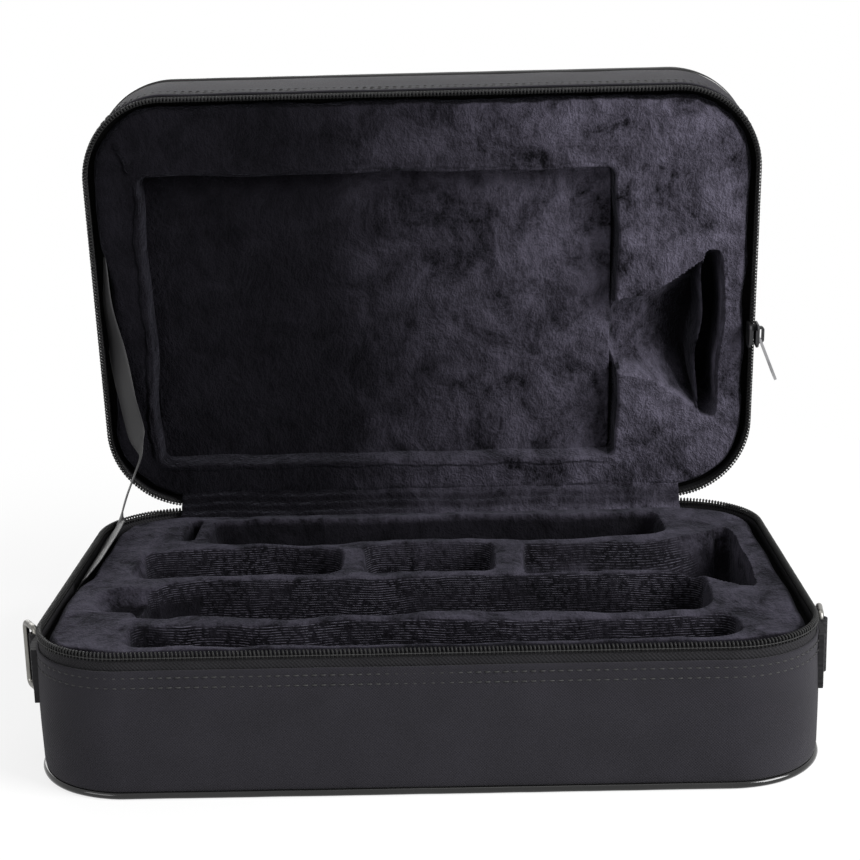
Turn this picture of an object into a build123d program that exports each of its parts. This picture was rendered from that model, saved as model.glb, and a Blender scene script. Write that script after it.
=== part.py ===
from build123d import *
import os
from math import cos, radians, sin

# A soft zip-round case for a clarinet, standing open. Millimetres, +Z up, front along -Y.
# The origin is the middle of the underside of the base.
# Both halves are built alike, each standing on its own outer face with its zip edge on top.
# The lid is then turned over on to the base and swung open about the cloth hinge.

os.makedirs("parts", exist_ok=True)

# ---- driving dimensions ----

# Whole case
case_width = 350.0
case_depth = 226.0
corner_radius = 44.0
base_height = 67.0          # underside to the base's zip edge
lid_height = 52.0           # lid's zip edge to its outer face
open_angle = 82.5           # how far the lid stands open, from shut
zip_gap = 2.0               # between the two zip edges when shut, where the teeth would lock

# Cloth and cords
cover_thickness = 2.1       # foam-backed cloth on the side walls
hem_thickness = 1.2         # the cover's folded edge, which is sewn over the zip tape
hem_drop = 8.0              # zip edge down to the folded edge
panel_thickness = 1.2       # cloth on the two outer faces
piping_diameter = 3.3
piping_inset = 0.65         # side wall in to the middle of the piping
tape_thickness = 0.8
tape_width = 17.0           # zip edge down to the lower edge of the tape
coil_height = 3.6
coil_thickness = 2.4
coil_rounding = 0.9
coil_back_gap = 272.0       # between the two ends of a coil, across the back
lining_thickness = 1.2
lining_skirt = 16.0         # how far the plush wraps down into the gap round the insert
ribbon_width = 15.0
ribbon_thickness = 0.8

# Foam
shell_wall = 6.6
shell_floor = 5.0
shell_drop = 9.5            # zip edge down to the top of the foam wall
shell_chamfer = 2.2
surface_drop = 3.0          # zip edge down to the plush surface
surface_rounding = 5.0      # plush surface rolling over at its outer edge

# Clearances
glue_gap = 0.1              # between layers that are sewn or glued together
soft_gap = 0.3              # between pieces that are only laid in
running_gap = 0.3           # round moving metal pieces

# Base pockets, in four rows from the back; widths run front to back
back_rail = 15.0            # plush between the back wall and the first row
ridge = 6.0                 # plush between two rows
upper_joint_left = 54.0     # left side of the case to the end of the pocket
upper_joint_length = 245.0
upper_joint_width = 45.0
upper_joint_depth = 44.0
end_slot_left = 45.0
end_slot_width = 8.0
end_slot_length = 36.0
end_slot_depth = 22.0
mouthpiece_left = 26.0
mouthpiece_length = 107.0
barrel_length = 68.0
middle_width = 44.0
middle_depth = 38.0
divider = 8.0               # between two pockets of the middle row
lower_joint_left = 38.0
lower_joint_length = 271.0
lower_joint_width = 57.0
lower_joint_depth = 46.0
scoop_reach = 20.0          # shallow finger scoop past the left end of the lower joint
scoop_length = 32.0
scoop_width = 38.0
scoop_depth = 9.0
front_row_left = 42.0
front_row_length = 273.0
front_row_width = 26.0
front_row_depth = 34.0
row_sway = 6.0              # how far a ridge bows between its ends
pocket_corner = 9.0
pocket_rounding = 12.0      # lower edges of the pockets

# Bell cavity, half in each half of the case, with its axis on the closing plane
bell_axis_y = 20.0
bell_throat_radius = 23.0
bell_flare_radius = 42.0
bell_rim_radius = 46.0
bell_rim_right = 18.0       # right side of the case in to the rim slot
bell_rim_slot = 11.0
bell_flare_length = 37.0
bell_flare_bow = 5.3        # how far the flare's curve lies inside a straight cone
bell_throat_length = 62.0
bell_lid_throat = 10.0      # the lid's share of the throat

# Lid recess
recess_left = 27.0
recess_right = 75.0
recess_front = 41.0
recess_back = 23.0
recess_depth = 13.0
recess_corner = 7.0
recess_draft = 8.0
recess_board = 2.0          # plush-covered board on the floor of the recess
recess_board_margin = 1.2

# Zip slider, on the lid's right side
slider_from_hinge = 92.0    # hinge to the middle of the slider
slider_length = 13.0
slider_plate = 1.2
slider_flange = 0.8         # turned-in edges that hold the slider on the coil
slider_neck = 1.3           # thickness of the neck that joins the two plates
slider_neck_length = 3.5
slider_neck_setback = 0.6   # end of the plates to the neck
slider_nose_corner = 2.5
slider_tail_step = 1.2      # how much narrower the tail is on each edge
slider_edge = 0.4           # chamfer round the outer plate
slider_waist = 7.8          # length of the turned-in edges
bridge_length = 9.0
bridge_width = 2.2
bridge_wire = 1.3
bridge_corner = 1.8
bridge_hollow_corner = 0.8
pull_length = 25.0          # crossbar to tip
pull_width = 8.0
pull_cheek = 0.95           # metal either side of the window that straddles the bridge
pull_thickness = 1.3
pull_window = 3.4           # crossbar to the far end of the window
pull_slot_length = 8.0
pull_slot_width = 3.4
pull_angle = 22.0           # how far the pull stands off the side wall

# Shoulder strap tabs and rings
webbing_width = 25.0
webbing_thickness = 1.2
tab_height = 46.0           # underside of the base to the middle of the webbing
tab_length = 22.0
tab_loop_y = -61.0          # middle of the case forward to the bar inside the loop
ring_wire = 3.0
ring_opening = 27.0         # inside height of the ring
ring_depth = 13.0           # bar to bar
ring_corner = 2.8
left_ring_angle = 33.0      # ring standing off the side wall
right_ring_angle = 8.0

# Lid ribbon: where its ends are sewn in, measured from the hinge
ribbon_lid_distance = 127.0
ribbon_base_distance = 106.0
ribbon_lean = 40.0          # the ribbon leaning on the plush along the base's rim

# ---- worked out from the above ----

closing_plane = base_height + zip_gap / 2
tape_inset = hem_thickness + glue_gap
cloth_middle = tape_inset + tape_thickness / 2
hinge_y = case_depth / 2 - cloth_middle
hinge_z = closing_plane
hinge_length = case_width - 2 * corner_radius
shell_inset = cover_thickness + glue_gap
shell_inner = shell_inset + shell_wall
lining_inset = shell_inner + soft_gap
insert_inset = lining_inset + lining_thickness + glue_gap
shell_bottom = panel_thickness + glue_gap
floor_top = shell_bottom + shell_floor
piping_radius = piping_diameter / 2
piping_level = piping_radius + glue_gap


# ---- shapes that both halves share ----

def plan(inset):
    """Outline of the case, drawn in by inset."""
    return RectangleRounded(case_width - 2 * inset, case_depth - 2 * inset, corner_radius - inset)


def slab(inset, bottom, top):
    """Solid block inside the outline."""
    return Pos(0, 0, bottom) * extrude(plan(inset), top - bottom)


def band(outer, inner, bottom, top):
    """Wall that follows the outline."""
    return Pos(0, 0, bottom) * extrude(plan(outer) - plan(inner), top - bottom)


def zip_stretch(body, height, back_gap):
    """The part of a band where the zip runs: all but back_gap in the middle of the back."""
    straight = Box(back_gap, case_depth, 2 * height)
    return body - Pos(0, case_depth / 2 + corner_radius / 2, 0) * straight


def foam_shell(height):
    """Moulded foam tub that gives a half of the case its form."""
    tub = slab(shell_inset, shell_bottom, height - shell_drop)
    tub = chamfer(tub.edges().group_by(Axis.Z)[0], shell_chamfer)
    return tub - slab(shell_inner, floor_top, height)


def side_cover(height):
    """Cloth round the side walls, thinner where its folded edge lies over the zip tape."""
    bottom = piping_level + piping_radius + glue_gap
    step = height - tape_width - soft_gap
    lower = band(0, cover_thickness, bottom, step)
    hem = band(0, hem_thickness, step, height - hem_drop)
    return lower + hem


def outer_panel():
    """Cloth on the outer face, inside the piping."""
    return slab(piping_inset + piping_radius + glue_gap, 0, panel_thickness)


def piping():
    """Round cord along the edge of the outer face."""
    path = plan(piping_inset).face().outer_wire()
    start = path @ 0
    section = Plane(origin=start, z_dir=path % 0) * Circle(piping_radius)
    return Pos(0, 0, piping_level) * sweep(section, path)


def zip_tape(height):
    """Woven tape that stands above the foam wall and carries the coil."""
    tape = band(tape_inset, tape_inset + tape_thickness, height - tape_width, height - coil_height)
    return zip_stretch(tape, height, hinge_length + 2 * soft_gap)


def zip_coil(height):
    """Bead of the zip teeth along the upper edge of the tape."""
    outer = cloth_middle - coil_thickness / 2
    bead = band(outer, outer + coil_thickness, height - coil_height, height)
    rims = bead.edges().group_by(Axis.Z)
    bead = fillet(rims[0] + rims[-1], coil_rounding)
    return zip_stretch(bead, height, coil_back_gap)


def insert_block(height, pockets):
    """Foam that fills the tub, with the grown pockets sunk into it."""
    top = height - surface_drop - lining_thickness - glue_gap
    block = slab(insert_inset, floor_top, top)
    block = fillet(block.edges().group_by(Axis.Z)[-1], surface_rounding - lining_thickness)
    return block - pockets


def plush_lining(height, grown_pockets, pockets):
    """Plush skin over the insert and down into each pocket."""
    top = height - surface_drop
    skin = slab(lining_inset, top - lining_skirt, top)
    skin = fillet(skin.edges().group_by(Axis.Z)[-1], surface_rounding)
    core = slab(insert_inset - glue_gap, floor_top, top - lining_thickness)
    core = fillet(core.edges().group_by(Axis.Z)[-1], surface_rounding - lining_thickness)
    return (skin - core) + (core & grown_pockets) - pockets


def turn_over(body):
    """From the lid's own building position to the shut case."""
    return Pos(0, 0, base_height + zip_gap + lid_height) * mirror(body, Plane.XY)


def swing_open(body):
    """From the shut case to the open lid."""
    away = Pos(0, -hinge_y, -hinge_z) * body
    return Pos(0, hinge_y, hinge_z) * Rot(-open_angle, 0, 0) * away


def lid_place(body):
    return swing_open(turn_over(body))


# ---- pockets ----

def sunk(outline, width, middle_y, depth, height, rounding, grow):
    """Pocket below the plush surface: an upright outline met by a trough with round lower edges."""
    top = height - surface_drop
    section = Rectangle(width + 2 * grow, depth + grow + pocket_rounding)
    section = Pos(0, (pocket_rounding - depth - grow) / 2) * section
    lower = section.vertices().group_by(Axis.Y)[0]
    section = fillet(lower, rounding + grow)
    trough = extrude(Plane.YZ * section, case_width / 2, both=True)
    upright = extrude(outline, pocket_rounding + depth + 2 * grow, both=True)
    return Pos(0, 0, top) * (Pos(0, middle_y, 0) * trough & upright)


def bowed_edge(start, end, sway):
    """Edge between two points that bows back by sway at its middle."""
    if sway == 0:
        return Line(start, end)
    return ThreePointArc(start, ((start[0] + end[0]) / 2, start[1] + sway), end)


def long_plan(left, length, back, width, back_sway, front_sway, grow):
    """Outline of a pocket whose long sides bow back by the two sways at their middles."""
    x0 = left - case_width / 2 - grow
    x1 = x0 + length + 2 * grow
    y1 = back + grow
    y0 = back - width - grow
    front_edge = bowed_edge((x0, y0), (x1, y0), front_sway)
    right_edge = Line((x1, y0), (x1, y1))
    back_edge = bowed_edge((x1, y1), (x0, y1), back_sway)
    left_edge = Line((x0, y1), (x0, y0))
    face = make_face([front_edge, right_edge, back_edge, left_edge])
    corner = min(pocket_corner, 0.45 * length, 0.45 * width)
    return fillet(face.vertices(), corner + grow)


def pocket(left, length, back, width, depth, height, grow, back_sway=0, front_sway=0):
    outline = long_plan(left, length, back, width, back_sway, front_sway, grow)
    spread = abs(back_sway) + abs(front_sway)
    middle = back - width / 2
    rounding = min(pocket_rounding, 0.45 * width)
    return sunk(outline, width + spread, middle, depth, height, rounding, grow)


def bell_cavity(throat, height, grow):
    """Half of the turned hollow that holds the bell: throat, flare and the slot for its rim."""
    slot_right = case_width / 2 - bell_rim_right
    slot_left = slot_right - bell_rim_slot
    flare_left = slot_left - bell_flare_length
    throat_left = flare_left - throat
    flare_middle = (flare_left + slot_left) / 2
    radius_middle = (bell_throat_radius + bell_flare_radius) / 2 - bell_flare_bow
    outline = make_face([
        Line((throat_left - grow, 0), (throat_left - grow, bell_throat_radius + grow)),
        Line((throat_left - grow, bell_throat_radius + grow), (flare_left, bell_throat_radius + grow)),
        ThreePointArc((flare_left, bell_throat_radius + grow), (flare_middle, radius_middle + grow),
                      (slot_left - grow, bell_flare_radius + grow)),
        Line((slot_left - grow, bell_flare_radius + grow), (slot_left - grow, bell_rim_radius + grow)),
        Line((slot_left - grow, bell_rim_radius + grow), (slot_right + grow, bell_rim_radius + grow)),
        Line((slot_right + grow, bell_rim_radius + grow), (slot_right + grow, 0)),
        Line((slot_right + grow, 0), (throat_left - grow, 0)),
    ])
    turned = revolve(outline, Axis.X)
    return Pos(0, bell_axis_y, height + zip_gap / 2) * turned


def base_pockets(grow):
    row_1 = case_depth / 2 - back_rail
    row_2 = row_1 - upper_joint_width - ridge
    row_3 = row_2 - middle_width - ridge
    row_4 = row_3 - lower_joint_width - ridge
    h = base_height
    upper = pocket(upper_joint_left, upper_joint_length, row_1, upper_joint_width,
                   upper_joint_depth, h, grow, front_sway=row_sway)
    slot = pocket(end_slot_left, end_slot_width, row_1, end_slot_length, end_slot_depth, h, grow)
    mouthpiece = pocket(mouthpiece_left, mouthpiece_length, row_2, middle_width, middle_depth, h, grow)
    barrel_left = mouthpiece_left + mouthpiece_length + divider
    barrel = pocket(barrel_left, barrel_length, row_2, middle_width, middle_depth, h, grow,
                    back_sway=row_sway)
    lower = pocket(lower_joint_left, lower_joint_length, row_3, lower_joint_width,
                   lower_joint_depth, h, grow, front_sway=row_sway)
    scoop = pocket(lower_joint_left - scoop_reach, scoop_length,
                   row_3 - (lower_joint_width - scoop_width) / 2, scoop_width, scoop_depth, h, grow)
    front = pocket(front_row_left, front_row_length, row_4, front_row_width,
                   front_row_depth, h, grow, back_sway=row_sway)
    bell = bell_cavity(bell_throat_length, h, grow)
    return upper + slot + mouthpiece + barrel + lower + scoop + front + bell


def lid_recess(grow):
    left = recess_left - case_width / 2
    right = case_width / 2 - recess_right
    front = recess_front - case_depth / 2
    back = case_depth / 2 - recess_back
    floor_plan = RectangleRounded(right - left + 2 * grow, back - front + 2 * grow, recess_corner + grow)
    top = lid_height - surface_drop
    floor = Pos((left + right) / 2, (front + back) / 2, top - recess_depth - grow) * floor_plan
    return extrude(floor, recess_depth + grow + lining_thickness, taper=-recess_draft)


def lid_pockets(grow):
    return lid_recess(grow) + bell_cavity(bell_lid_throat, lid_height, grow)


def recess_floor_board():
    """Plush-covered board laid on the floor of the lid's recess."""
    width = case_width - recess_left - recess_right - 2 * recess_board_margin
    depth = case_depth - recess_front - recess_back - 2 * recess_board_margin
    floor = lid_height - surface_drop - recess_depth
    middle_x = (recess_left - recess_right) / 2
    middle_y = (recess_front - recess_back) / 2
    outline = RectangleRounded(width, depth, recess_corner - recess_board_margin)
    board = Pos(middle_x, middle_y, floor) * extrude(outline, recess_board)
    return fillet(board.edges().group_by(Axis.Z)[-1], 0.45 * recess_board)


# ---- cloth across the hinge, and the ribbon ----

def mirrored_on_lid(point):
    """The point of the open lid that matches a (y, z) point of the base across the closing plane."""
    y = point[0] - hinge_y
    z = hinge_z - point[1]
    turn = radians(open_angle)
    return (hinge_y + y * cos(turn) + z * sin(turn), hinge_z - y * sin(turn) + z * cos(turn))


def folded_strip(points, fold_distance, thickness):
    """Strip of cloth as wide as the hinge: (y, z) points of the base, the fold, and the lid's match."""
    half_turn = radians(open_angle / 2)
    fold = (hinge_y - fold_distance * cos(half_turn), hinge_z + fold_distance * sin(half_turn))
    path = Polyline(points + [fold] + [mirrored_on_lid(point) for point in reversed(points)])
    return extrude(Plane.YZ * trace(path, line_width=thickness), hinge_length / 2, both=True)


def hinge_cloth():
    """Outer cloth hinge, sewn in behind both folded cover edges like the zip tape."""
    return folded_strip([(hinge_y, base_height - tape_width)], 0, tape_thickness)


def hinge_lining():
    """Plush strip inside the hinge, from the top of one foam wall to the other."""
    foot_y = case_depth / 2 - lining_inset + soft_gap + lining_thickness / 2
    foot_z = base_height - shell_drop + lining_thickness
    fold_distance = tape_thickness / 2 + soft_gap + lining_thickness / 2
    return folded_strip([(foot_y, foot_z), (hinge_y - fold_distance, hinge_z - fold_distance)],
                        fold_distance, lining_thickness)


def above_lid_lining(x, from_hinge, height):
    """Point of the open lid: across the case, out from the hinge, and off the plush."""
    turn = radians(open_angle)
    depth = zip_gap / 2 + surface_drop - height
    y = hinge_y - from_hinge * cos(turn) + depth * sin(turn)
    return Vector(x, y, hinge_z + from_hinge * sin(turn) + depth * cos(turn))


def stay_ribbon():
    """Slack satin ribbon from the lid's left side to the base's left rim."""
    edge_x = lining_inset - case_width / 2
    lean = Vector(cos(radians(ribbon_lean)), 0, sin(radians(ribbon_lean)))
    rest_z = base_height - shell_drop + 0.5 * ribbon_width * lean.Z + 2 * soft_gap
    lid_end = ribbon_lid_distance + ribbon_width / 2
    stations = [
        (above_lid_lining(edge_x + 2.2, lid_end, 0.8), Vector(1, 0, 0.1)),
        (above_lid_lining(edge_x + 4.4, 0.7 * lid_end, 0.8), Vector(1, 0, 0.2)),
        (above_lid_lining(edge_x + 10.4, 0.35 * lid_end, 2.0), Vector(1, 0, 0.25)),
        (Vector(edge_x + 6.0, hinge_y - 12, hinge_z + 22), Vector(1, 0.3, 0.4)),
        (Vector(edge_x + 6.9, hinge_y - 26, base_height + 1.5), Vector(0.8, 0.2, 0.5)),
        (Vector(edge_x - 0.4, hinge_y - 52, rest_z), lean),
        (Vector(edge_x - 0.4, hinge_y - ribbon_base_distance, rest_z), lean),
    ]
    sections = []
    for index, (point, across) in enumerate(stations):
        before = stations[max(index - 1, 0)][0]
        after = stations[min(index + 1, len(stations) - 1)][0]
        along = (after - before).normalized()
        face = Plane(origin=point, x_dir=across - along * across.dot(along), z_dir=along)
        sections.append(face * Rectangle(ribbon_width, ribbon_thickness))
    ribbon = loft(sections[:2], ruled=True)
    for first, second in zip(sections[1:], sections[2:]):
        ribbon += loft([first, second], ruled=True)
    return ribbon


# ---- zip slider and its pull, placed on the shut case ----

side_x = case_width / 2
coil_outer_x = side_x - cloth_middle + coil_thickness / 2
coil_inner_x = coil_outer_x - coil_thickness
outer_plate_x = coil_outer_x + running_gap
inner_plate_x = coil_inner_x - running_gap - slider_plate
slider_y = hinge_y - slider_from_hinge
slider_half_width = zip_gap / 2 + coil_height + running_gap + slider_flange
bridge_clearance = pull_thickness + 2 * running_gap
crossbar_x = outer_plate_x + slider_plate + bridge_clearance / 2
crossbar_y = slider_y + bridge_length / 2 - bridge_wire - running_gap - pull_thickness / 2


def slider_body():
    """Two plates joined by a neck between the coils, their long edges turned in over the tape."""
    width = 2 * slider_half_width
    nose = Pos(-slider_length / 4, 0) * RectangleRounded(slider_length / 2, width, slider_nose_corner)
    tail = RectangleRounded(slider_length, width - 2 * slider_tail_step, slider_nose_corner)
    outline = nose + tail + Rectangle(slider_waist, width)
    facing = Plane(origin=(0, slider_y, closing_plane), x_dir=(0, 1, 0), z_dir=(1, 0, 0))
    outer = Pos(outer_plate_x, 0, 0) * extrude(facing * outline, slider_plate)
    outer = chamfer(outer.faces().sort_by(Axis.X)[-1].edges(), slider_edge)
    inner = Pos(inner_plate_x, 0, 0) * extrude(facing * outline, slider_plate)
    neck_depth = outer_plate_x - inner_plate_x
    neck = Box(neck_depth, slider_neck_length, slider_neck)
    neck_y = slider_y - slider_length / 2 + slider_neck_setback + slider_neck_length / 2
    body = outer + inner + Pos(inner_plate_x + neck_depth / 2, neck_y, closing_plane) * neck
    tape_outer_x = side_x - tape_inset
    outer_reach = outer_plate_x - tape_outer_x - running_gap
    inner_reach = tape_outer_x - tape_thickness - running_gap - inner_plate_x - slider_plate
    for side in (-1, 1):
        z = closing_plane + side * (slider_half_width - slider_flange / 2)
        outer_x = outer_plate_x - outer_reach / 2
        inner_x = inner_plate_x + slider_plate + inner_reach / 2
        body += Pos(outer_x, slider_y, z) * Box(outer_reach, slider_waist, slider_flange)
        body += Pos(inner_x, slider_y, z) * Box(inner_reach, slider_waist, slider_flange)
    return body


def slider_bridge():
    """Arch on the outer plate that traps the pull's crossbar."""
    outer_height = bridge_clearance + bridge_wire
    arch = RectangleRounded(bridge_length, 2 * outer_height, bridge_corner)
    hollow_length = bridge_length - 2 * bridge_wire
    hollow = RectangleRounded(hollow_length, 2 * bridge_clearance, bridge_hollow_corner)
    upper = Pos(0, outer_height) * Rectangle(bridge_length, 2 * outer_height)
    facing = Plane(origin=(outer_plate_x + slider_plate, slider_y, closing_plane - bridge_width / 2),
                   x_dir=(0, 1, 0), z_dir=(0, 0, -1))
    section = (arch - hollow) & upper
    return extrude(facing * section, -bridge_width)


def zip_pull():
    """Tapered plate with a crossbar, a window round the bridge and a slot near the tip."""
    window_width = bridge_width + 2 * running_gap
    root = window_width / 2 + pull_cheek
    tip_radius = pull_width / 2
    tip = pull_length - tip_radius
    taper = Polygon((pull_window, -root), (tip, -tip_radius), (tip, tip_radius),
                    (pull_window, root), align=None)
    heel = Pos((pull_window - pull_thickness / 2) / 2, 0)
    heel = heel * Rectangle(pull_window + pull_thickness / 2, 2 * root)
    window_length = pull_window - pull_thickness / 2
    window = Pos(pull_thickness / 2 + window_length / 2, 0) * Rectangle(window_length, window_width)
    slot = Pos(tip - pull_slot_length / 4, 0) * SlotOverall(pull_slot_length, pull_slot_width)
    outline = taper + heel + Pos(tip, 0) * Circle(tip_radius) - window - slot
    plate = Pos(0, 0, -pull_thickness / 2) * extrude(outline, pull_thickness)
    heel_edges = plate.edges().filter_by(Axis.Y).group_by(Axis.X)[0]
    plate = fillet(heel_edges, 0.45 * pull_thickness)
    turn = radians(pull_angle)
    facing = Plane(origin=(crossbar_x, crossbar_y, closing_plane),
                   x_dir=(sin(turn), cos(turn), 0), z_dir=(cos(turn), -sin(turn), 0))
    return facing * plate


# ---- strap tabs and rings ----

loop_inner = ring_wire / 2 + 1.5 * running_gap
loop_outer = loop_inner + webbing_thickness
bar_x = case_width / 2 + glue_gap + loop_outer
ring_height = ring_opening + ring_wire
ring_level = tab_height + webbing_width / 2 + running_gap - ring_opening / 2


def strap_tab(side):
    """Webbing folded round the ring's bar, both layers sewn forward along the side wall."""
    layers = plan(-glue_gap - 2 * webbing_thickness) - plan(-glue_gap)
    stretch = Rectangle(2 * corner_radius, tab_length)
    middle = (side * (case_width / 2 - corner_radius / 2), tab_loop_y - tab_length / 2)
    strip = layers & (Pos(*middle) * stretch)
    bar = Pos(side * bar_x, tab_loop_y)
    outline = strip + bar * Circle(loop_outer) - bar * Circle(loop_inner)
    return Pos(0, 0, tab_height - webbing_width / 2) * extrude(outline, webbing_width)


def strap_ring(side, angle):
    """Round-wire loop with rounded corners, its bar inside the webbing."""
    outline = RectangleRounded(ring_depth, ring_height, ring_corner)
    path = (Pos(ring_depth / 2, 0) * outline).face().outer_wire()
    turn = radians(angle)
    facing = Plane(origin=(side * bar_x, tab_loop_y, ring_level),
                   x_dir=(side * sin(turn), cos(turn), 0), z_dir=(cos(turn), -side * sin(turn), 0))
    path = facing * path
    section = Plane(origin=path @ 0, z_dir=path % 0) * Circle(ring_wire / 2)
    return sweep(section, path)


# ---- the pieces, each written to its own file ----

def write(name, body, color):
    body.label = name
    body.color = Color(color)
    export_step(body, f"parts/{name}.step")


def as_built(body):
    return body


for half, place, height, pockets in (
    ("base", as_built, base_height, base_pockets),
    ("lid", lid_place, lid_height, lid_pockets),
):
    write(half + "_shell", place(foam_shell(height)), "white")
    write(half + "_insert", place(insert_block(height, pockets(lining_thickness + glue_gap))), "white")
    lining = plush_lining(height, pockets(lining_thickness), pockets(0))
    write(half + "_lining", place(lining), "gray30")
    write(half + "_cover", place(side_cover(height)), "gray20")
    write(half + "_panel", place(outer_panel()), "gray25")
    write(half + "_piping", place(piping()), "black")
    write(half + "_zip_tape", place(zip_tape(height)), "gray10")
    write(half + "_zip_coil", place(zip_coil(height)), "gray40")

write("lid_recess_board", lid_place(recess_floor_board()), "gray50")
write("hinge_cloth", hinge_cloth(), "gray15")
write("hinge_lining", hinge_lining(), "gray35")
write("stay_ribbon", stay_ribbon(), "silver")
write("zip_slider", swing_open(slider_body()), "silver")
write("slider_bridge", swing_open(slider_bridge()), "silver")
write("zip_pull", swing_open(zip_pull()), "silver")
for name, side, angle in (("left", -1, left_ring_angle), ("right", 1, right_ring_angle)):
    write("strap_tab_" + name, strap_tab(side), "gray10")
    write("strap_ring_" + name, strap_ring(side, angle), "silver")
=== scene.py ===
from math import cos, pi, radians, sin, tan

import bmesh
import bpy
import numpy as np
from mathutils import Matrix, Vector


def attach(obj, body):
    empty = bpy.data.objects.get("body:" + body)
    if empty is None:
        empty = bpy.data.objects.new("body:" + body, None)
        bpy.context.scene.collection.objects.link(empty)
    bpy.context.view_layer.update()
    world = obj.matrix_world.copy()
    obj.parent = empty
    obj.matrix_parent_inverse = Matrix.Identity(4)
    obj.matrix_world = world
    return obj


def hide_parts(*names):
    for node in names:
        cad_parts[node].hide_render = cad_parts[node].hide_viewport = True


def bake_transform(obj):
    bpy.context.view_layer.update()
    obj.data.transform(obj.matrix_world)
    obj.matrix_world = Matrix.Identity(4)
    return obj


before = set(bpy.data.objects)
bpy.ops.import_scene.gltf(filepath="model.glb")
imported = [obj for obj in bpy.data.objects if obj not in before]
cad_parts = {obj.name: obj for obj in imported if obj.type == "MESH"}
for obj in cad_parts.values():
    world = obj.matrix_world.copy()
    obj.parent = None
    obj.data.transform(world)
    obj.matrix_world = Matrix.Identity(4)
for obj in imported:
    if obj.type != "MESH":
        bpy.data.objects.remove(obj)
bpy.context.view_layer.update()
print("frame loaded:", len(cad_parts), "nodes")


# Both halves are made standing on their outer face, zip edge up, as the frame's own solids are.
# The lid is then turned over on to the base and swung open.

case = {
    "width": 0.350,
    "depth": 0.226,
    "corner": 0.044,
    "baseHeight": 0.067,
    "lidHeight": 0.052,
    "zipGap": 0.002,
    "openAngle": 82.5,
    "clothMiddle": 0.0017,  # side wall in to the middle of the zip tape
    "surfaceDrop": 0.003,  # zip edge down to the plush
}
case["straightX"] = case["width"] - 2 * case["corner"]
case["straightY"] = case["depth"] - 2 * case["corner"]
case["around"] = 2 * (case["straightX"] + case["straightY"]) + 2 * pi * case["corner"]
case["zipRun"] = case["around"] - case["straightX"]
halves = (("base", case["baseHeight"]), ("lid", case["lidHeight"]))
hinge = Vector((0, case["depth"] / 2 - case["clothMiddle"],
                case["baseHeight"] + case["zipGap"] / 2))

shutHeight = case["baseHeight"] + case["zipGap"] + case["lidHeight"]
turnOver = Matrix.Translation((0, 0, shutHeight)) @ Matrix.Diagonal((1, 1, -1, 1))
swingOpen = (Matrix.Translation(hinge) @ Matrix.Rotation(radians(-case["openAngle"]), 4, "X")
             @ Matrix.Translation(-hinge))
lidPlace = swingOpen @ turnOver

def addNode(tree, kind, inputs=None, **settings):
    node = tree.nodes.new(kind)
    for key, value in settings.items():
        setattr(node, key, value)
    setInputs(tree, node, inputs or {})
    return node


def setInputs(tree, node, inputs):
    for key, value in inputs.items():
        if isinstance(value, bpy.types.NodeSocket):
            tree.links.new(value, node.inputs[key])
        else:
            node.inputs[key].default_value = value


def mathNode(tree, operation, first, second=0.0, clamp=False):
    node = addNode(tree, "ShaderNodeMath", {0: first, 1: second}, operation=operation,
                   use_clamp=clamp)
    return node.outputs[0]


def times(tree, first, second):
    return mathNode(tree, "MULTIPLY", first, second)


def plus(tree, first, second, clamp=False):
    return mathNode(tree, "ADD", first, second, clamp)


def swingOf(tree, value, spread):  # from 0..1 to either side of nought
    return times(tree, mathNode(tree, "SUBTRACT", value, 0.5), spread)


def noise(tree, vector, scale, detail, **more):
    inputs = {"Vector": vector, "Scale": scale, "Detail": detail, **more}
    return addNode(tree, "ShaderNodeTexNoise", inputs).outputs[0]


def axis(tree, vector, number):
    return addNode(tree, "ShaderNodeSeparateXYZ", {0: vector}).outputs[number]


def mixColor(tree, factor, first, second):
    node = addNode(tree, "ShaderNodeMix", {0: factor, 6: first, 7: second}, data_type="RGBA")
    return node.outputs[2]


def remap(tree, value, low, high, toLow=0.0, toHigh=1.0):
    names = {"Value": value, "From Min": low, "From Max": high, "To Min": toLow, "To Max": toHigh}
    return addNode(tree, "ShaderNodeMapRange", names).outputs[0]


def meshPiece(name, points, faces, material, smooth=True):
    mesh = bpy.data.meshes.new(name)
    mesh.from_pydata([tuple(p) for p in points], [], faces)
    mesh.materials.append(material)
    if smooth:
        mesh.shade_smooth()
    piece = bpy.data.objects.new(name, mesh)
    bpy.context.collection.objects.link(piece)
    return piece


def ringFaces(rings, size, around=False, caps=True):  # quads between rings of points
    faces = []
    for i in range(rings if around else rings - 1):
        here, following = i * size, (i + 1) % rings * size
        for j in range(size):
            k = (j + 1) % size
            faces.append((here + j, here + k, following + k, following + j))
    if caps and not around:
        faces.append(tuple(range(size - 1, -1, -1)))
        faces.append(tuple(range((rings - 1) * size, rings * size)))
    return faces


def outward(mesh, merge=0.0, fill=False):
    # all faces pointing out, after near points are merged and gaps filled
    work = bmesh.new()
    work.from_mesh(mesh)
    bmesh.ops.delete(work, geom=[v for v in work.verts if not v.link_faces], context="VERTS")
    if merge:
        bmesh.ops.remove_doubles(work, verts=work.verts, dist=merge)
    if fill:
        bmesh.ops.holes_fill(work, edges=work.edges[:], sides=0)
    bmesh.ops.recalc_face_normals(work, faces=work.faces)
    work.to_mesh(mesh)
    work.free()


def settle(piece, half, slot, *nodes):  # into its place, on its body
    if half == "lid":
        piece.data.transform(lidPlace)
        piece.data.flip_normals()
    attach(piece, half)
    if nodes:
        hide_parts(*nodes)


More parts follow.
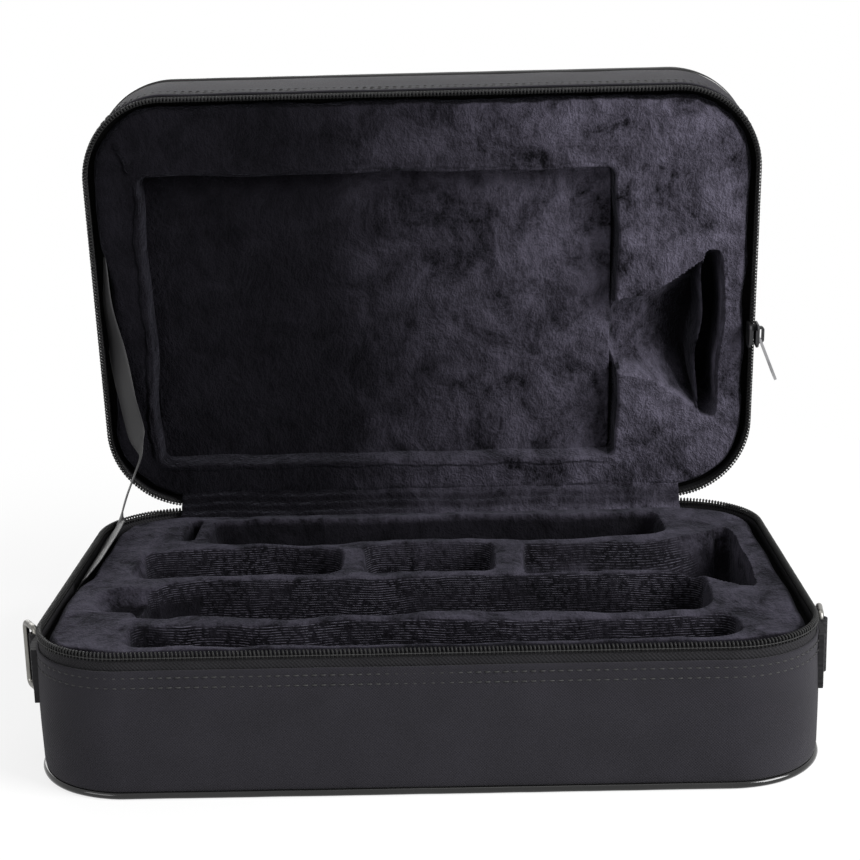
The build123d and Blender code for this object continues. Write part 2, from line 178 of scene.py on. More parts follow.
def softNoise(x, y, size, seed):  # seven waves, added to about -1 to 1
    random = np.random.default_rng(seed)
    total = 0
    for _ in range(7):
        heading = random.uniform(0, 2 * pi)
        length = size * random.uniform(0.7, 1.5)
        start = random.uniform(0, 2 * pi)
        total = total + np.sin((x * cos(heading) + y * sin(heading)) * 2 * pi / length + start)
    return total / 3.2


def smoothMin(first, second, width):
    share = np.clip(0.5 + 0.5 * (second - first) / width, 0, 1)
    return second * (1 - share) + first * share - width * share * (1 - share)


def easeStep(value, low, high):
    share = np.clip((value - low) / (high - low), 0, 1)
    return share * share * (3 - 2 * share)


def fadeOut(value, low, high):  # 1 below low, 0 above high
    return easeStep(-value, -high, -low)


def within(value, begin, full, last, end):  # 1 from full to last, 0 outside the others
    return easeStep(value, begin, full) * fadeOut(value, last, end)


def pathLengths(points):  # how far along its path each point lies
    steps = np.linalg.norm(np.diff(points, axis=0), axis=1)
    return np.concatenate([[0], np.cumsum(steps)])


def rimAt(lengths):  # points and outward normals round the wall
    lengths = np.asarray(lengths, float) % case["around"]
    turn = pi / 2 * case["corner"]
    runs = [(turn, True), (case["straightY"], False), (turn, True), (case["straightX"], False)] * 2
    points = np.zeros((len(lengths), 2))
    normals = np.zeros((len(lengths), 2))
    place = np.array([case["straightX"] / 2, case["depth"] / 2])
    heading = 0.0
    begin = 0.0
    for run, turning in runs:
        inside = (lengths >= begin - 1e-9) & (lengths <= begin + run + 1e-9)
        along = np.clip(lengths[inside] - begin, 0, run)
        if turning:
            angle = heading - along / case["corner"]
            middle = place - case["corner"] * np.array([-sin(heading), cos(heading)])
            side = np.stack([-np.sin(angle), np.cos(angle)], 1)
            points[inside] = middle + case["corner"] * side
            heading -= pi / 2
            place = middle + case["corner"] * np.array([-sin(heading), cos(heading)])
        else:
            ahead = np.array([cos(heading), sin(heading)])
            side = np.tile([-sin(heading), cos(heading)], (len(along), 1))
            points[inside] = place + along[:, None] * ahead
            place = place + run * ahead
        normals[inside] = side
        begin += run
    return points, normals


def rimCurve(name, inset, level, whole, step=0.001, trim=0.0):
    # the wall's outline as a curve, whole or along the zip
    length = case["around"] if whole else case["zipRun"]
    count = round(length / step)
    lengths = np.linspace(trim, length - trim, count, endpoint=not whole)
    points, normals = rimAt(lengths)
    points = points - normals * inset
    places = np.column_stack([points, np.full(count, level), np.ones(count)])
    curve = bpy.data.curves.new(name, "CURVE")
    curve.dimensions = "3D"
    spline = curve.splines.new("POLY")
    spline.points.add(count - 1)
    spline.use_cyclic_u = whole
    spline.points.foreach_set("co", places.ravel())
    piece = bpy.data.objects.new(name, curve)
    bpy.context.collection.objects.link(piece)
    return piece


def sweptPiece(name, grid, along, across, material, around=False):
    # rings of points joined into a closed piece, with a cloth map in metres
    rings, size = grid.shape[:2]
    piece = meshPiece(name, grid.reshape(-1, 3), ringFaces(rings, size, around), material)
    outward(piece.data)
    clothMap(piece.data, np.stack([np.repeat(along, size), np.tile(across, rings)], 1))
    return piece


def rimLoft(name, profile, material, step=0.0013, whole=True, shift=None):
    # sweeps a closed (inset, height) profile round the wall
    length = case["around"] if whole else case["zipRun"]
    count = round(length / step)
    lengths = np.linspace(0, length, count, endpoint=not whole)
    points, normals = rimAt(lengths)
    profile = np.array(profile)
    inset = np.tile(profile[:, 0], (count, 1))
    level = np.tile(profile[:, 1], (count, 1))
    if shift is not None:
        inset, level = shift(lengths[:, None], inset, level)
    plan = points[:, None, :] - normals[:, None, :] * inset[:, :, None]
    grid = np.concatenate([plan, level[:, :, None]], 2)
    return sweptPiece(name, grid, lengths, pathLengths(profile), material, around=whole)


def clothMap(mesh, places):  # the piece's own map, in metres
    layer = mesh.uv_layers.new(name="cloth")
    corners = np.zeros(len(mesh.loops), int)
    mesh.loops.foreach_get("vertex_index", corners)
    layer.data.foreach_set("uv", np.asarray(places, float)[corners].ravel())


def pointValues(mesh, name, values):
    layer = mesh.attributes.new(name, "FLOAT", "POINT")
    layer.data.foreach_set("value", values.ravel().astype(np.float32))


def plainCopy(piece, name):  # what the modifiers make, as a plain mesh
    whole = piece.evaluated_get(bpy.context.evaluated_depsgraph_get())
    mesh = bpy.data.meshes.new_from_object(whole)
    mesh.name = name
    mesh.transform(piece.matrix_world)
    bpy.data.objects.remove(piece)
    made = bpy.data.objects.new(name, mesh)
    bpy.context.collection.objects.link(made)
    return made


def nodeGroup(name, kind, inputs, outputs):
    tree = bpy.data.node_groups.new(name, kind)
    for socket, form, value in inputs:
        made = tree.interface.new_socket(socket, in_out="INPUT", socket_type="NodeSocket" + form)
        if value is not None:
            made.default_value = value
    for socket, form in outputs:
        tree.interface.new_socket(socket, in_out="OUTPUT", socket_type="NodeSocket" + form)
    return tree, addNode(tree, "NodeGroupInput").outputs, addNode(tree, "NodeGroupOutput").inputs


def buildWeave():  # over and under threads of a plain weave
    inputs = [("Vector", "Vector", None), ("Threads per metre", "Float", 1500.0),
              ("Slub", "Float", 0.4)]
    tree, given, result = nodeGroup("plainWeave", "ShaderNodeTree", inputs,
                                    [("Thread", "Float"), ("Height", "Float")])
    waver = swingOf(tree, noise(tree, given[0], 240.0, 2.0), 3.0)
    turns = times(tree, given[1], pi)
    across = plus(tree, times(tree, axis(tree, given[0], 0), turns), waver)
    along = plus(tree, times(tree, axis(tree, given[0], 1), turns), waver)
    crossing = times(tree, mathNode(tree, "SINE", across), mathNode(tree, "SINE", along))
    height = remap(tree, crossing, -1.0, 1.0)
    slub = noise(tree, given[0], 900.0, 3.0)
    mixed = addNode(tree, "ShaderNodeMix", {0: given[2], 2: height, 3: slub})
    tree.links.new(mixed.outputs[0], result[0])
    tree.links.new(height, result[1])
    return tree


def buildPile():  # brushed patches of a velvet pile
    inputs = [("Vector", "Vector", None), ("Patch", "Float", 60.0), ("Tuft", "Float", 900.0),
              ("Contrast", "Float", 1.0)]
    tree, given, result = nodeGroup("velvetPile", "ShaderNodeTree", inputs,
                                    [("Lie", "Float"), ("Height", "Float")])
    vector = given[0]
    broad = noise(tree, vector, given[1], 5.0, Roughness=0.62, Distortion=0.6)
    stretched = addNode(tree, "ShaderNodeMapping", {0: vector, "Scale": (1.0, 0.45, 0.6)})
    streak = noise(tree, stretched.outputs[0], times(tree, given[1], 5.0), 4.0, Roughness=0.7)
    tuft = noise(tree, vector, given[2], 2.0, Roughness=0.6)
    patches = remap(tree, broad, 0.34, 0.66)
    streaks = remap(tree, streak, 0.3, 0.7)
    tufts = remap(tree, tuft, 0.25, 0.75)
    lie = plus(tree, times(tree, patches, 0.5), times(tree, streaks, 0.3))
    lie = plus(tree, lie, times(tree, tufts, 0.2))
    lie = plus(tree, swingOf(tree, lie, given[3]), 0.5, clamp=True)
    height = plus(tree, times(tree, streaks, 0.6), times(tree, tufts, 0.25))
    tree.links.new(lie, result[0])
    tree.links.new(plus(tree, height, patches), result[1])
    return tree


def buildWear():  # rubbed spots and fine scratches
    inputs = [("Vector", "Vector", None), ("Scale", "Float", 400.0), ("Amount", "Float", 0.3)]
    tree, given, result = nodeGroup("rubbedWear", "ShaderNodeTree", inputs,
                                    [("Mask", "Float"), ("Height", "Float")])
    stretched = addNode(tree, "ShaderNodeMapping", {0: given[0], "Scale": (1.0, 1.0, 0.15)})
    scratch = noise(tree, stretched.outputs[0], given[1], 6.0)
    spots = remap(tree, noise(tree, given[0], times(tree, given[1], 0.2), 3.0), 0.5, 0.72)
    tree.links.new(times(tree, spots, given[2]), result[0])
    tree.links.new(scratch, result[1])
    return tree


weaveGroup = buildWeave()
pileGroup = buildPile()
wearGroup = buildWear()


socketNames = {"specular": "Specular IOR Level", "sheen": "Sheen Weight",
               "sheenRough": "Sheen Roughness", "sheenTint": "Sheen Tint", "rough": "Roughness",
               "metal": "Metallic", "coat": "Coat Weight", "coatRough": "Coat Roughness"}


def startMaterial(name, **fixed):
    material = bpy.data.materials.new(name)
    material.use_nodes = True
    tree = material.node_tree
    shader = next(node for node in tree.nodes if node.type == "BSDF_PRINCIPLED")
    for socket, value in fixed.items():
        shader.inputs[socketNames[socket]].default_value = value
    place = addNode(tree, "ShaderNodeTexCoord").outputs["Object"]
    return material, tree, shader, place


def effect(tree, group, values):  # a shared group with its own values
    node = addNode(tree, "ShaderNodeGroup", node_tree=group)
    setInputs(tree, node, values)
    return node.outputs[0], node.outputs[1]


def finishBump(tree, shader, height, distance):
    bump = addNode(tree, "ShaderNodeBump",
                   {"Height": height, "Distance": distance, "Strength": 1.0})
    tree.links.new(bump.outputs[0], shader.inputs["Normal"])


def grey(level, cool=0.0):
    return (level, level * (1 - 0.3 * cool), level * (1 + cool), 1.0)


def weaveMaterial(name, dark, light, threads, bump, **fixed):
    material, tree, shader, place = startMaterial(name, **fixed)
    cloth = addNode(tree, "ShaderNodeUVMap", uv_map="cloth").outputs[0]
    thread, height = effect(tree, weaveGroup, {"Vector": cloth, "Threads per metre": threads,
                                               "Slub": 0.55})
    lint = remap(tree, noise(tree, place, 35.0, 4.0), 0.3, 0.7)
    shade = plus(tree, times(tree, thread, 0.7), times(tree, lint, 0.3))
    tree.links.new(mixColor(tree, shade, dark, light), shader.inputs["Base Color"])
    finishBump(tree, shader, height, bump)
    return material


def paintedSideLight(tree, place):  # painted light and shade: the plush darker towards the left, lighter towards the right, as the light falls from the right
    edge = noise(tree, place, 14.0, 5.0, Roughness=0.65)
    side = plus(tree, axis(tree, place, 0), times(tree, edge, 0.08))
    return remap(tree, side, -0.01, 0.135, 0.06, 1.0)


def openedRows(tree, place, pitch, share):  # rows of pile that open on the far walls
    waver = swingOf(tree, noise(tree, place, 28.0, 2.0), 26.0)
    rows = times(tree, axis(tree, place, 2), 2 * pi / pitch)
    row = remap(tree, mathNode(tree, "SINE", plus(tree, rows, waver)), 0.1, 1.0)
    row = times(tree, row, remap(tree, noise(tree, place, 420.0, 2.0), 0.4, 0.6))
    row = times(tree, row, remap(tree, noise(tree, place, 30.0, 3.0), 0.38, 0.62, 0.22, 1.0))
    return times(tree, row, share)


def plushMaterial(name, dark, light, patch, contrast, ribs, relief, withPaintedSideLight, shadow, **fixed):
    material, tree, shader, place = startMaterial(name, **fixed)
    shade, height = effect(tree, pileGroup, {"Vector": place, "Patch": patch,
                                             "Contrast": contrast})
    # painted shade: the paintedShade point values darken the plush colour, standing in for shade
    # deep in the pockets, at the rolled edges, in the hinge fold and in shadowed spots
    paintedShade = addNode(tree, "ShaderNodeAttribute", attribute_name="paintedShade").outputs["Fac"]
    shade = times(tree, shade, remap(tree, paintedShade, *shadow))
    # painted light and shade: the colour is scaled from dark on the left to light on the right
    if withPaintedSideLight:
        shade = times(tree, shade, paintedSideLight(tree, place))
    if ribs:
        share = addNode(tree, "ShaderNodeAttribute", attribute_name="ribShare").outputs["Fac"]
        row = openedRows(tree, place, ribs["pitch"], share)
        calmer = remap(tree, share, 0.0, 1.0, 1.0, 0.2)
        shade = plus(tree, times(tree, shade, calmer), 0.0, clamp=True)
        height = plus(tree, height, times(tree, row, 1.5))
    color = mixColor(tree, shade, dark, light)
    if ribs:
        color = mixColor(tree, row, color, grey(ribs["level"], 0.2))
    tree.links.new(color, shader.inputs["Base Color"])
    finishBump(tree, shader, height, relief)
    return material


def hardMaterial(name, color, worn, scale, amount, bump, **fixed):
    material, tree, shader, place = startMaterial(name, **fixed)
    mask, height = effect(tree, wearGroup, {"Vector": place, "Scale": scale, "Amount": amount})
    tree.links.new(mixColor(tree, mask, color, worn), shader.inputs["Base Color"])
    rough = shader.inputs["Roughness"].default_value
    tree.links.new(remap(tree, mask, 0.0, 1.0, rough, min(rough + 0.3, 1.0)),
                   shader.inputs["Roughness"])
    finishBump(tree, shader, height, bump)
    return material


pileBlue = (0.80, 0.80, 1.0, 1.0)
caseCloth = weaveMaterial("caseCloth", grey(0.008, 0.2), grey(0.020, 0.2), 1500.0, 0.00012,
                          rough=0.9, specular=0.12, sheen=0.06, sheenRough=0.5)
hingeCloth = weaveMaterial("hingeCloth", grey(0.008, 0.1), grey(0.02, 0.1), 1700.0, 0.0001,
                           rough=0.9, specular=0.12, sheen=0.06, sheenRough=0.5)
tapeWeave = weaveMaterial("tapeWeave", grey(0.004, 0.1), grey(0.018, 0.1), 1100.0, 0.00025,
                          rough=0.8, specular=0.15)
strapWebbing = weaveMaterial("strapWebbing", grey(0.003, 0.1), grey(0.014, 0.1), 700.0, 0.0004,
                             rough=0.75, specular=0.2)
satinRibbon = weaveMaterial("satinRibbon", grey(0.018, 0.04), grey(0.03, 0.04), 3000.0, 0.00003,
                            rough=0.5, specular=0.3, sheen=0.1, sheenRough=0.3)
basePlush = plushMaterial("basePlush", grey(0.002, 0.25), grey(0.034, 0.25), 45.0, 2.1,
                          {"pitch": 0.00115, "level": 0.108}, 0.0010, False,
                          (0.12, 0.7, 1.0, 0.12), rough=0.95, specular=0.03, sheen=0.04,
                          sheenRough=0.5, sheenTint=pileBlue)
# lidPlush is the same velvet as basePlush; its lighter colour is the bright end of the painted
# side light turned on here
lidPlush = plushMaterial("lidPlush", grey(0.002, 0.25), grey(0.074, 0.25), 42.0, 1.6, None,
                         0.0018, True, (0.58, 0.92, 1.0, 0.05), rough=0.95, specular=0.02,
                         sheen=0.05, sheenRough=0.5, sheenTint=pileBlue)
innerFoam = hardMaterial("innerFoam", grey(0.003), grey(0.006), 90.0, 0.5, 0.0003,
                         rough=0.95, specular=0.04)
coilNylon = hardMaterial("coilNylon", grey(0.007), grey(0.02), 300.0, 0.4, 0.00003,
                         rough=0.5, specular=0.18)
sewingThread = hardMaterial("sewingThread", grey(0.022), grey(0.04), 900.0, 0.6, 0.00005,
                            rough=0.6, specular=0.25)
vinylPiping = hardMaterial("vinylPiping", grey(0.005), grey(0.012), 150.0, 0.3, 0.00005,
                           rough=0.14, specular=0.3, coat=0.25, coatRough=0.04)
zipNickel = hardMaterial("zipNickel", (0.34, 0.34, 0.35, 1), (0.12, 0.12, 0.12, 1), 500.0, 0.6,
                         0.00002, rough=0.28, metal=1.0)
zipGunmetal = hardMaterial("zipGunmetal", (0.045, 0.045, 0.047, 1), (0.12, 0.12, 0.12, 1),
                           500.0, 0.5, 0.00002, rough=0.4, metal=0.9)
ringSteel = hardMaterial("ringSteel", (0.20, 0.195, 0.18, 1), (0.05, 0.05, 0.05, 1), 400.0, 0.7,
                         0.00003, rough=0.3, metal=1.0)
print("materials made")


plush = {
    "inset": 0.0052,  # side wall in to the plush, at its least
    "footInset": 0.0095,  # the same below the top of the foam wall
    "bottom": 0.0068,  # underside of the insert
    "roll": 0.0040,  # radius of the outer edge
    "hang": 0.0020,  # how far the edge hangs below its roll
    "skirt": 0.0075,  # how much of the grid is folded down past the edge
    "tuckFrom": 0.35,  # share of the skirt at which it goes in under the edge
    "tuckTo": 0.55,
    "drop": 0.06,  # skirt's end below the edge, cut off at the bottom
    "lastRow": 0.0009,  # skirt left out at its end
    "lumps": ((0.00045, 0.040), (0.00018, 0.013)),  # height and size of each
    "calm": (0.004, 0.012),  # the edges stray less this near the rim
    "edgeRoll": 0.0036,  # radius where a pocket begins
    "floorRound": 0.011,
    "lean": 84.0,  # pocket walls off the level
    "wander": 0.0011,  # how far the edges stray, and over which length
    "wanderX": 0.055,
    "wanderY": 0.048,
    "columns": 368,
    "rows": 256,
}

rowWave = 0.125
basePockets = [  # back and front edges: place, swing, wavelength, crest
    {"x": (-0.1185, 0.124), "depth": 0.044, "corner": 0.010,
     "back": (0.0985, 0.0012, 0.11, -0.095), "front": (0.0537, 0.0037, rowWave, 0)},
    {"x": (-0.1312, -0.1225), "depth": 0.022, "corner": 0.0035, "edgeRoll": 0.003,
     "floorRound": 0.003, "back": (0.098, 0, 1, 0), "front": (0.061, 0, 1, 0)},
    {"x": (-0.1480, -0.042), "depth": 0.038, "corner": 0.011,
     "back": (0.0475, 0.002, 0.11, -0.095), "front": (0.002, 0.001, 0.1, -0.09)},
    {"x": (-0.034, 0.034), "depth": 0.038, "corner": 0.009,
     "back": (0.0487, 0.0040, rowWave, 0), "front": (0.0015, 0.001, 0.1, 0)},
    {"x": (-0.134, 0.134), "depth": 0.034, "corner": 0.014,
     "back": (-0.0045, 0.0012, 0.13, 0.04), "front": (-0.0585, 0.0028, 0.14, 0.02)},
    {"x": (-0.137, -0.112), "depth": 0.048, "corner": 0.008,
     "back": (-0.012, 0, 1, 0), "front": (-0.058, 0, 1, 0)},
    {"x": (-0.157, -0.127), "depth": 0.012, "corner": 0.013, "lean": 44.0,
     "back": (-0.0125, 0.001, 0.012, 0), "front": (-0.0505, 0, 1, 0)},
    {"x": (-0.134, 0.140), "depth": 0.034, "corner": 0.010,
     "back": (-0.0655, 0.0022, 0.16, -0.01), "front": (-0.0935, 0.0035, 0.6, -0.3)},
]
lidRecess = {"x": (-0.148, 0.1024), "depth": 0.0135, "corner": 0.006, "edgeRoll": 0.0013,
             "floorRound": 0.0018, "lean": 82.0,
             "back": (0.090, 0, 1, 0), "front": (-0.072, 0, 1, 0)}
bell = {
    "axisY": 0.020,
    "aboveBase": 0.004,  # bell's axis, on the closing plane, over the plush
    "aboveLid": 0.001,  # less here, where the plush is drawn in
    "slot": (0.1455, 0.1575),
    "slotRadius": 0.046,
    "lidPlaces": (0.0983, 0.0995, 0.102, 0.115, 0.125, 0.135, 0.146, 0.1475),
    "lidRadii": (0, 0.0165, 0.0203, 0.0222, 0.0266, 0.0335, 0.041, 0),
    "basePlaces": (0.045, 0.048, 0.109, 0.120, 0.133, 0.146, 0.150, 0.151),
    "baseRadii": (0, 0.023, 0.023, 0.0256, 0.0325, 0.042, 0.044, 0),
    "lipX": 0.1466,  # fold of plush between the lid's flare and slot
    "lipDrop": 0.0075,
    "lipWave": 0.0014,
    "lipSteep": 11.0,
}
lidFolds = [  # ends of each fold of plush, its height and width
    ((-0.1490, -0.069), (-0.1497, 0.087), 0.0011, 0.0007),
    ((-0.1580, -0.094), (-0.1485, -0.071), 0.0014, 0.0014),
    ((-0.1475, -0.0733), (0.0990, -0.0743), 0.0006, 0.0007),
    ((-0.1470, 0.0912), (0.0990, 0.0918), 0.0006, 0.0007),
]


def wallProfile(depth, edgeRoll, floorRound, lean):  # distance inside a pocket, and level there
    steep = radians(lean)
    turn = np.linspace(0, steep, 9)
    reach = list(-0.5 * edgeRoll + edgeRoll * np.sin(turn))
    level = list(edgeRoll * (np.cos(turn) - 1))
    drop = max(depth - (edgeRoll + floorRound) * (1 - cos(steep)), 0)
    foot = reach[-1] + drop / tan(steep) + floorRound * sin(steep)
    back = turn[::-1]
    reach += list(foot - floorRound * np.sin(back))
    level += list(-depth + floorRound * (1 - np.cos(back)))
    return reach, level


def edgeAt(x, edge):
    place, swing, wavelength, crest = edge
    return place + swing * np.cos(2 * pi * (x - crest) / wavelength)


def pocketLevel(x, y, pocket):
    back, front = edgeAt(x, pocket["back"]), edgeAt(x, pocket["front"])
    left, right = pocket["x"]
    corner = pocket["corner"]
    overX = np.abs(x - (left + right) / 2) - (right - left) / 2 + corner
    overY = np.abs(y - (back + front) / 2) - (back - front) / 2 + corner
    outside = np.hypot(np.maximum(overX, 0), np.maximum(overY, 0))
    distance = outside + np.minimum(np.maximum(overX, overY), 0) - corner
    reach, level = wallProfile(pocket["depth"], pocket.get("edgeRoll", plush["edgeRoll"]),
                               pocket.get("floorRound", plush["floorRound"]),
                               pocket.get("lean", plush["lean"]))
    return np.interp(-distance, reach, level)


def bellLevel(x, y, places, radii, above, power, lip):  # half a hollow, its axis above the plush
    radius = np.interp(x, places, radii)
    middle = (bell["slot"][0] + bell["slot"][1]) / 2
    off = np.clip(np.abs(x - middle) / (bell["slot"][1] - middle), 0, 1)
    radius = np.maximum(radius, bell["slotRadius"] * (1 - off ** 5) ** 0.25)
    across = np.abs(y - bell["axisY"])
    bow = np.maximum(1 - (across / np.maximum(radius, 0.0001)) ** power, 0)
    hollow = radius * np.sqrt(bow) - above
    if not lip:
        return -hollow
    crest = -bell["lipDrop"] - bell["lipWave"] * np.sin(2 * pi * y / 0.029)
    crest = crest + 0.003 * easeStep(across, 0.028, 0.042)
    off = np.abs(x - bell["lipX"] - 0.0006 * np.sin(2 * pi * y / 0.043))
    return np.maximum(-hollow, crest - off * bell["lipSteep"])


def outlineDistance(x, y, inset):
    corner = case["corner"] - inset
    overX = np.abs(x) - case["width"] / 2 + inset + corner
    overY = np.abs(y) - case["depth"] / 2 + inset + corner
    outX, outY = np.maximum(overX, 0), np.maximum(overY, 0)
    outside = np.hypot(outX, outY)
    distance = outside + np.minimum(np.maximum(overX, overY), 0) - corner
    safe = np.where(outside > 0, outside, 1)
    sideX = np.where(outside > 0, outX / safe, (overX > overY) * 1.0) * np.sign(x)
    sideY = np.where(outside > 0, outY / safe, (overX <= overY) * 1.0) * np.sign(y)
    return distance, sideX, sideY


def spreadLines(low, high, count, edges, width=0.004):  # more grid lines near the walls
    fine = np.linspace(low, high, 5000)
    density = 1 + 1.7 * sum(np.exp(-((fine - edge) / width) ** 2) for edge in edges)
    total = np.cumsum(density)
    total = (total - total[0]) / (total[-1] - total[0])
    return np.interp(np.linspace(0, 1, count), total, fine)


def plushBlock(half, level, edgesX, edgesY, inset, dark, material, seed):
    roll, skirt, hang = plush["roll"], plush["skirt"], plush["hang"]
    tuckFrom, tuckTo = plush["tuckFrom"], plush["tuckTo"]
    margin = skirt + roll * (pi / 2 - 1)
    halfX = case["width"] / 2 - plush["inset"] + margin
    halfY = case["depth"] / 2 - plush["inset"] + margin
    columns = spreadLines(-halfX, halfX, plush["columns"], edgesX)
    rows = spreadLines(-halfY, halfY, plush["rows"], edgesY)
    x, y = np.meshgrid(columns, rows)
    distance, sideX, sideY = outlineDistance(x, y, inset(x, y))
    surface = level(x, y)
    for number, (lump, size) in enumerate(plush["lumps"]):
        surface = surface + lump * softNoise(x, y, size, seed + 2 + number)
    past = distance + roll  # how far past the start of the edge's roll
    bend = np.clip(past / roll, 0, pi / 2)
    below = np.clip((past - roll * pi / 2) / skirt, 0, 1)
    moved = np.where(past > 0, -roll + roll * np.sin(bend), distance)
    tuck = np.maximum(plush["footInset"] - inset(x, y), 0)
    moved = moved - tuck * easeStep(below, tuckFrom, tuckTo)
    fall = np.where(past > 0, roll * (1 - np.cos(bend)), 0)
    fall = fall + np.interp(below, [0, tuckFrom, tuckTo, 1],
                            [0, hang, hang + 0.0002, plush["drop"]])
    keep = past <= roll * pi / 2 + skirt - plush["lastRow"]
    top = case[half + "Height"] - case["surfaceDrop"]
    z = top + surface * fadeOut(past, -0.001, roll) - fall
    z = np.where(keep, np.maximum(z, plush["bottom"]), plush["bottom"])
    stray = fadeOut(distance, -plush["calm"][1], -plush["calm"][0]) * plush["wander"]
    strayX = stray * softNoise(x, y, plush["wanderX"], seed)
    strayY = stray * softNoise(x, y, plush["wanderY"], seed + 1)
    points = np.stack([x + sideX * (moved - distance) + strayX,
                       y + sideY * (moved - distance) + strayY, z], 2)
    count = len(columns)
    used = keep[:-1, :-1] | keep[1:, :-1] | keep[:-1, 1:] | keep[1:, 1:]
    corners = [int(i) * count + int(j) for i, j in np.argwhere(used)]
    faces = [(a, a + 1, a + count + 1, a + count) for a in corners]
    piece = meshPiece(half + "PlushBlock", points.reshape(-1, 3), faces, material)
    # dark returns where the pile opens in rows, and each point's painted shade
    opened, depth = dark(x, y, surface, seed)
    pointValues(piece.data, "ribShare", opened)
    # painted shade: the plush's rolled edge all round is painted darker
    pointValues(piece.data, "paintedShade", np.clip(depth + easeStep(past, 0.0005, 0.9 * roll), 0, 1))
    outward(piece.data, fill=True)
    settle(piece, half, "plush", half + "_lining", half + "_insert")


def baseLevel(x, y):
    surface = np.zeros_like(x)
    for pocket in basePockets:
        surface = smoothMin(surface, pocketLevel(x, y, pocket), 0.0012)
    hollow = bellLevel(x, y, bell["basePlaces"], bell["baseRadii"], bell["aboveBase"], 2, False)
    return smoothMin(surface, np.maximum(hollow, -0.045), 0.004)


def lidLevel(x, y):
    surface = pocketLevel(x, y, lidRecess)
    for begin, end, height, width in lidFolds:
        surface = surface + foldAlong(x, y, begin, end, height, width)
    hollow = bellLevel(x, y, bell["lidPlaces"], bell["lidRadii"], bell["aboveLid"], 3, True)
    return smoothMin(surface, np.maximum(hollow, -0.036), 0.0012)


def foldAlong(x, y, begin, end, height, width):  # a fold of plush with a crease beside it
    begin, end = np.array(begin), np.array(end)
    ahead = end - begin
    length = np.hypot(*ahead)
    ahead = ahead / length
    along = (x - begin[0]) * ahead[0] + (y - begin[1]) * ahead[1]
    beside = (y - begin[1]) * ahead[0] - (x - begin[0]) * ahead[1]
    beside = beside + 0.0006 * np.sin(2 * pi * along / 0.037)
    beside = beside + 0.0003 * np.sin(2 * pi * along / 0.011)
    share = easeStep(along, 0, 0.006) * fadeOut(along, length - 0.006, length)
    crease = 0.8 * np.exp(-((beside - 1.7 * width) / width) ** 2)
    return share * height * (np.exp(-(beside / width) ** 2) - crease)


paintedShadeSpots = {  # places of the opened rows and of the painted shade, each with the distance over which it fades
    "full": 0.036,  # depth at which the painted shade is darkest
    "rowSlope": (0.6, 1.6),  # walls steep enough for the pile to open in rows
    "rowsY": (0.046, 0.054),
    "rowsX": (0.138, 0.146),
    "scoopX": (-0.137, -0.133),  # no rows in the finger scoop
    "scoopY": (-0.004, 0.0),
    "holeX": (-0.113, -0.111),  # left end of the lower joint's pocket, painted dark as its shadow
    "holeSlant": 0.3,
    "holeY": (-0.004, -0.001),
    "holeDepth": (0.0075, 0.0095),
    "holeRagged": 0.0012,
    "backRowY": (0.050, 0.056),
    "backRowX": (0.13, 0.135),
    "recessWallX": (0.0975, 0.0990, 0.1030, 0.1040),
    "recessWallDepth": (-0.003, -0.0008),
    "throat": (0.0165, 0.0195),  # the recess wall is open here, towards the bell, and gets no painted shadow
    "lipX": (0.141, 0.144, 0.148, 0.150),
}


# where the pile opens in rows, and how much painted shade each place gets, from 0 to 1
def baseRowsAndPaintedShade(x, y, surface, seed):
    slope = np.gradient(surface, axis=0) / np.gradient(y, axis=0)
    # painted shadow: the left end of the lower joint's pocket is painted dark, with a ragged edge
    ragged = paintedShadeSpots["holeRagged"] * softNoise(x, y, 0.008, seed + 5)
    slant = paintedShadeSpots["holeSlant"] * (surface + 0.02)
    low, high = paintedShadeSpots["holeX"]
    pocketEndShadow = fadeOut(x, slant + low, slant + high) * fadeOut(y, *paintedShadeSpots["holeY"])
    pocketEndShadow = pocketEndShadow * easeStep(-surface + ragged, *paintedShadeSpots["holeDepth"])
    share = easeStep(slope, *paintedShadeSpots["rowSlope"]) * fadeOut(y, *paintedShadeSpots["rowsY"])
    share = share * fadeOut(x, *paintedShadeSpots["rowsX"])
    share = share * (1 - fadeOut(x, *paintedShadeSpots["scoopX"]) * fadeOut(y, *paintedShadeSpots["scoopY"]))
    # painted shade: the back row of pockets is painted much darker, for the shade deep inside it
    backRowShade = easeStep(y, *paintedShadeSpots["backRowY"]) * fadeOut(x, *paintedShadeSpots["backRowX"])
    # painted shade: the plush is painted darker the deeper it lies below its top
    depth = np.clip(-surface / paintedShadeSpots["full"] + pocketEndShadow, 0, 1)
    return share * (1 - pocketEndShadow), np.clip(depth * (1 + 5 * backRowShade), 0, 1)


def lidRowsAndPaintedShade(x, y, surface, seed):
    # painted shade: the plush is painted darker the deeper it lies below its top
    depth = np.clip(-surface / paintedShadeSpots["full"], 0, 1)
    # painted shadow: the recess's right wall is painted dark, above and below the bell's throat
    wall = within(x, *paintedShadeSpots["recessWallX"]) * fadeOut(surface, *paintedShadeSpots["recessWallDepth"])
    wall = 1.5 * wall * easeStep(np.abs(y - bell["axisY"]), *paintedShadeSpots["throat"])
    # painted shade: the deep end of the lid's flare, beside the lip, is painted darker
    lip = 0.3 * within(x, *paintedShadeSpots["lipX"])
    return np.zeros_like(x), np.clip(depth + wall + lip, 0, 1)


gaps = {  # how far the plush stays in from the side wall, over its least inset
    "ribbonX": (-0.15, -0.12),  # beside the ribbon
    "baseRibbonY": (-0.012, 0.006, 0.08, 0.095),
    "lidRibbonY": (-0.035, -0.01, 0.03, 0.055),
    "baseRibbon": 0.0038,
    "lidRibbon": 0.0040,
    "frontX": (0.150, 0.165),
    "frontY": (-0.100, -0.085),
    "front": 0.0056,
    "baseWave": 0.0006,
    "lidWave": 0.0008,
    "scallop": 0.0005,
    "scallopPitch": 0.0125,
}


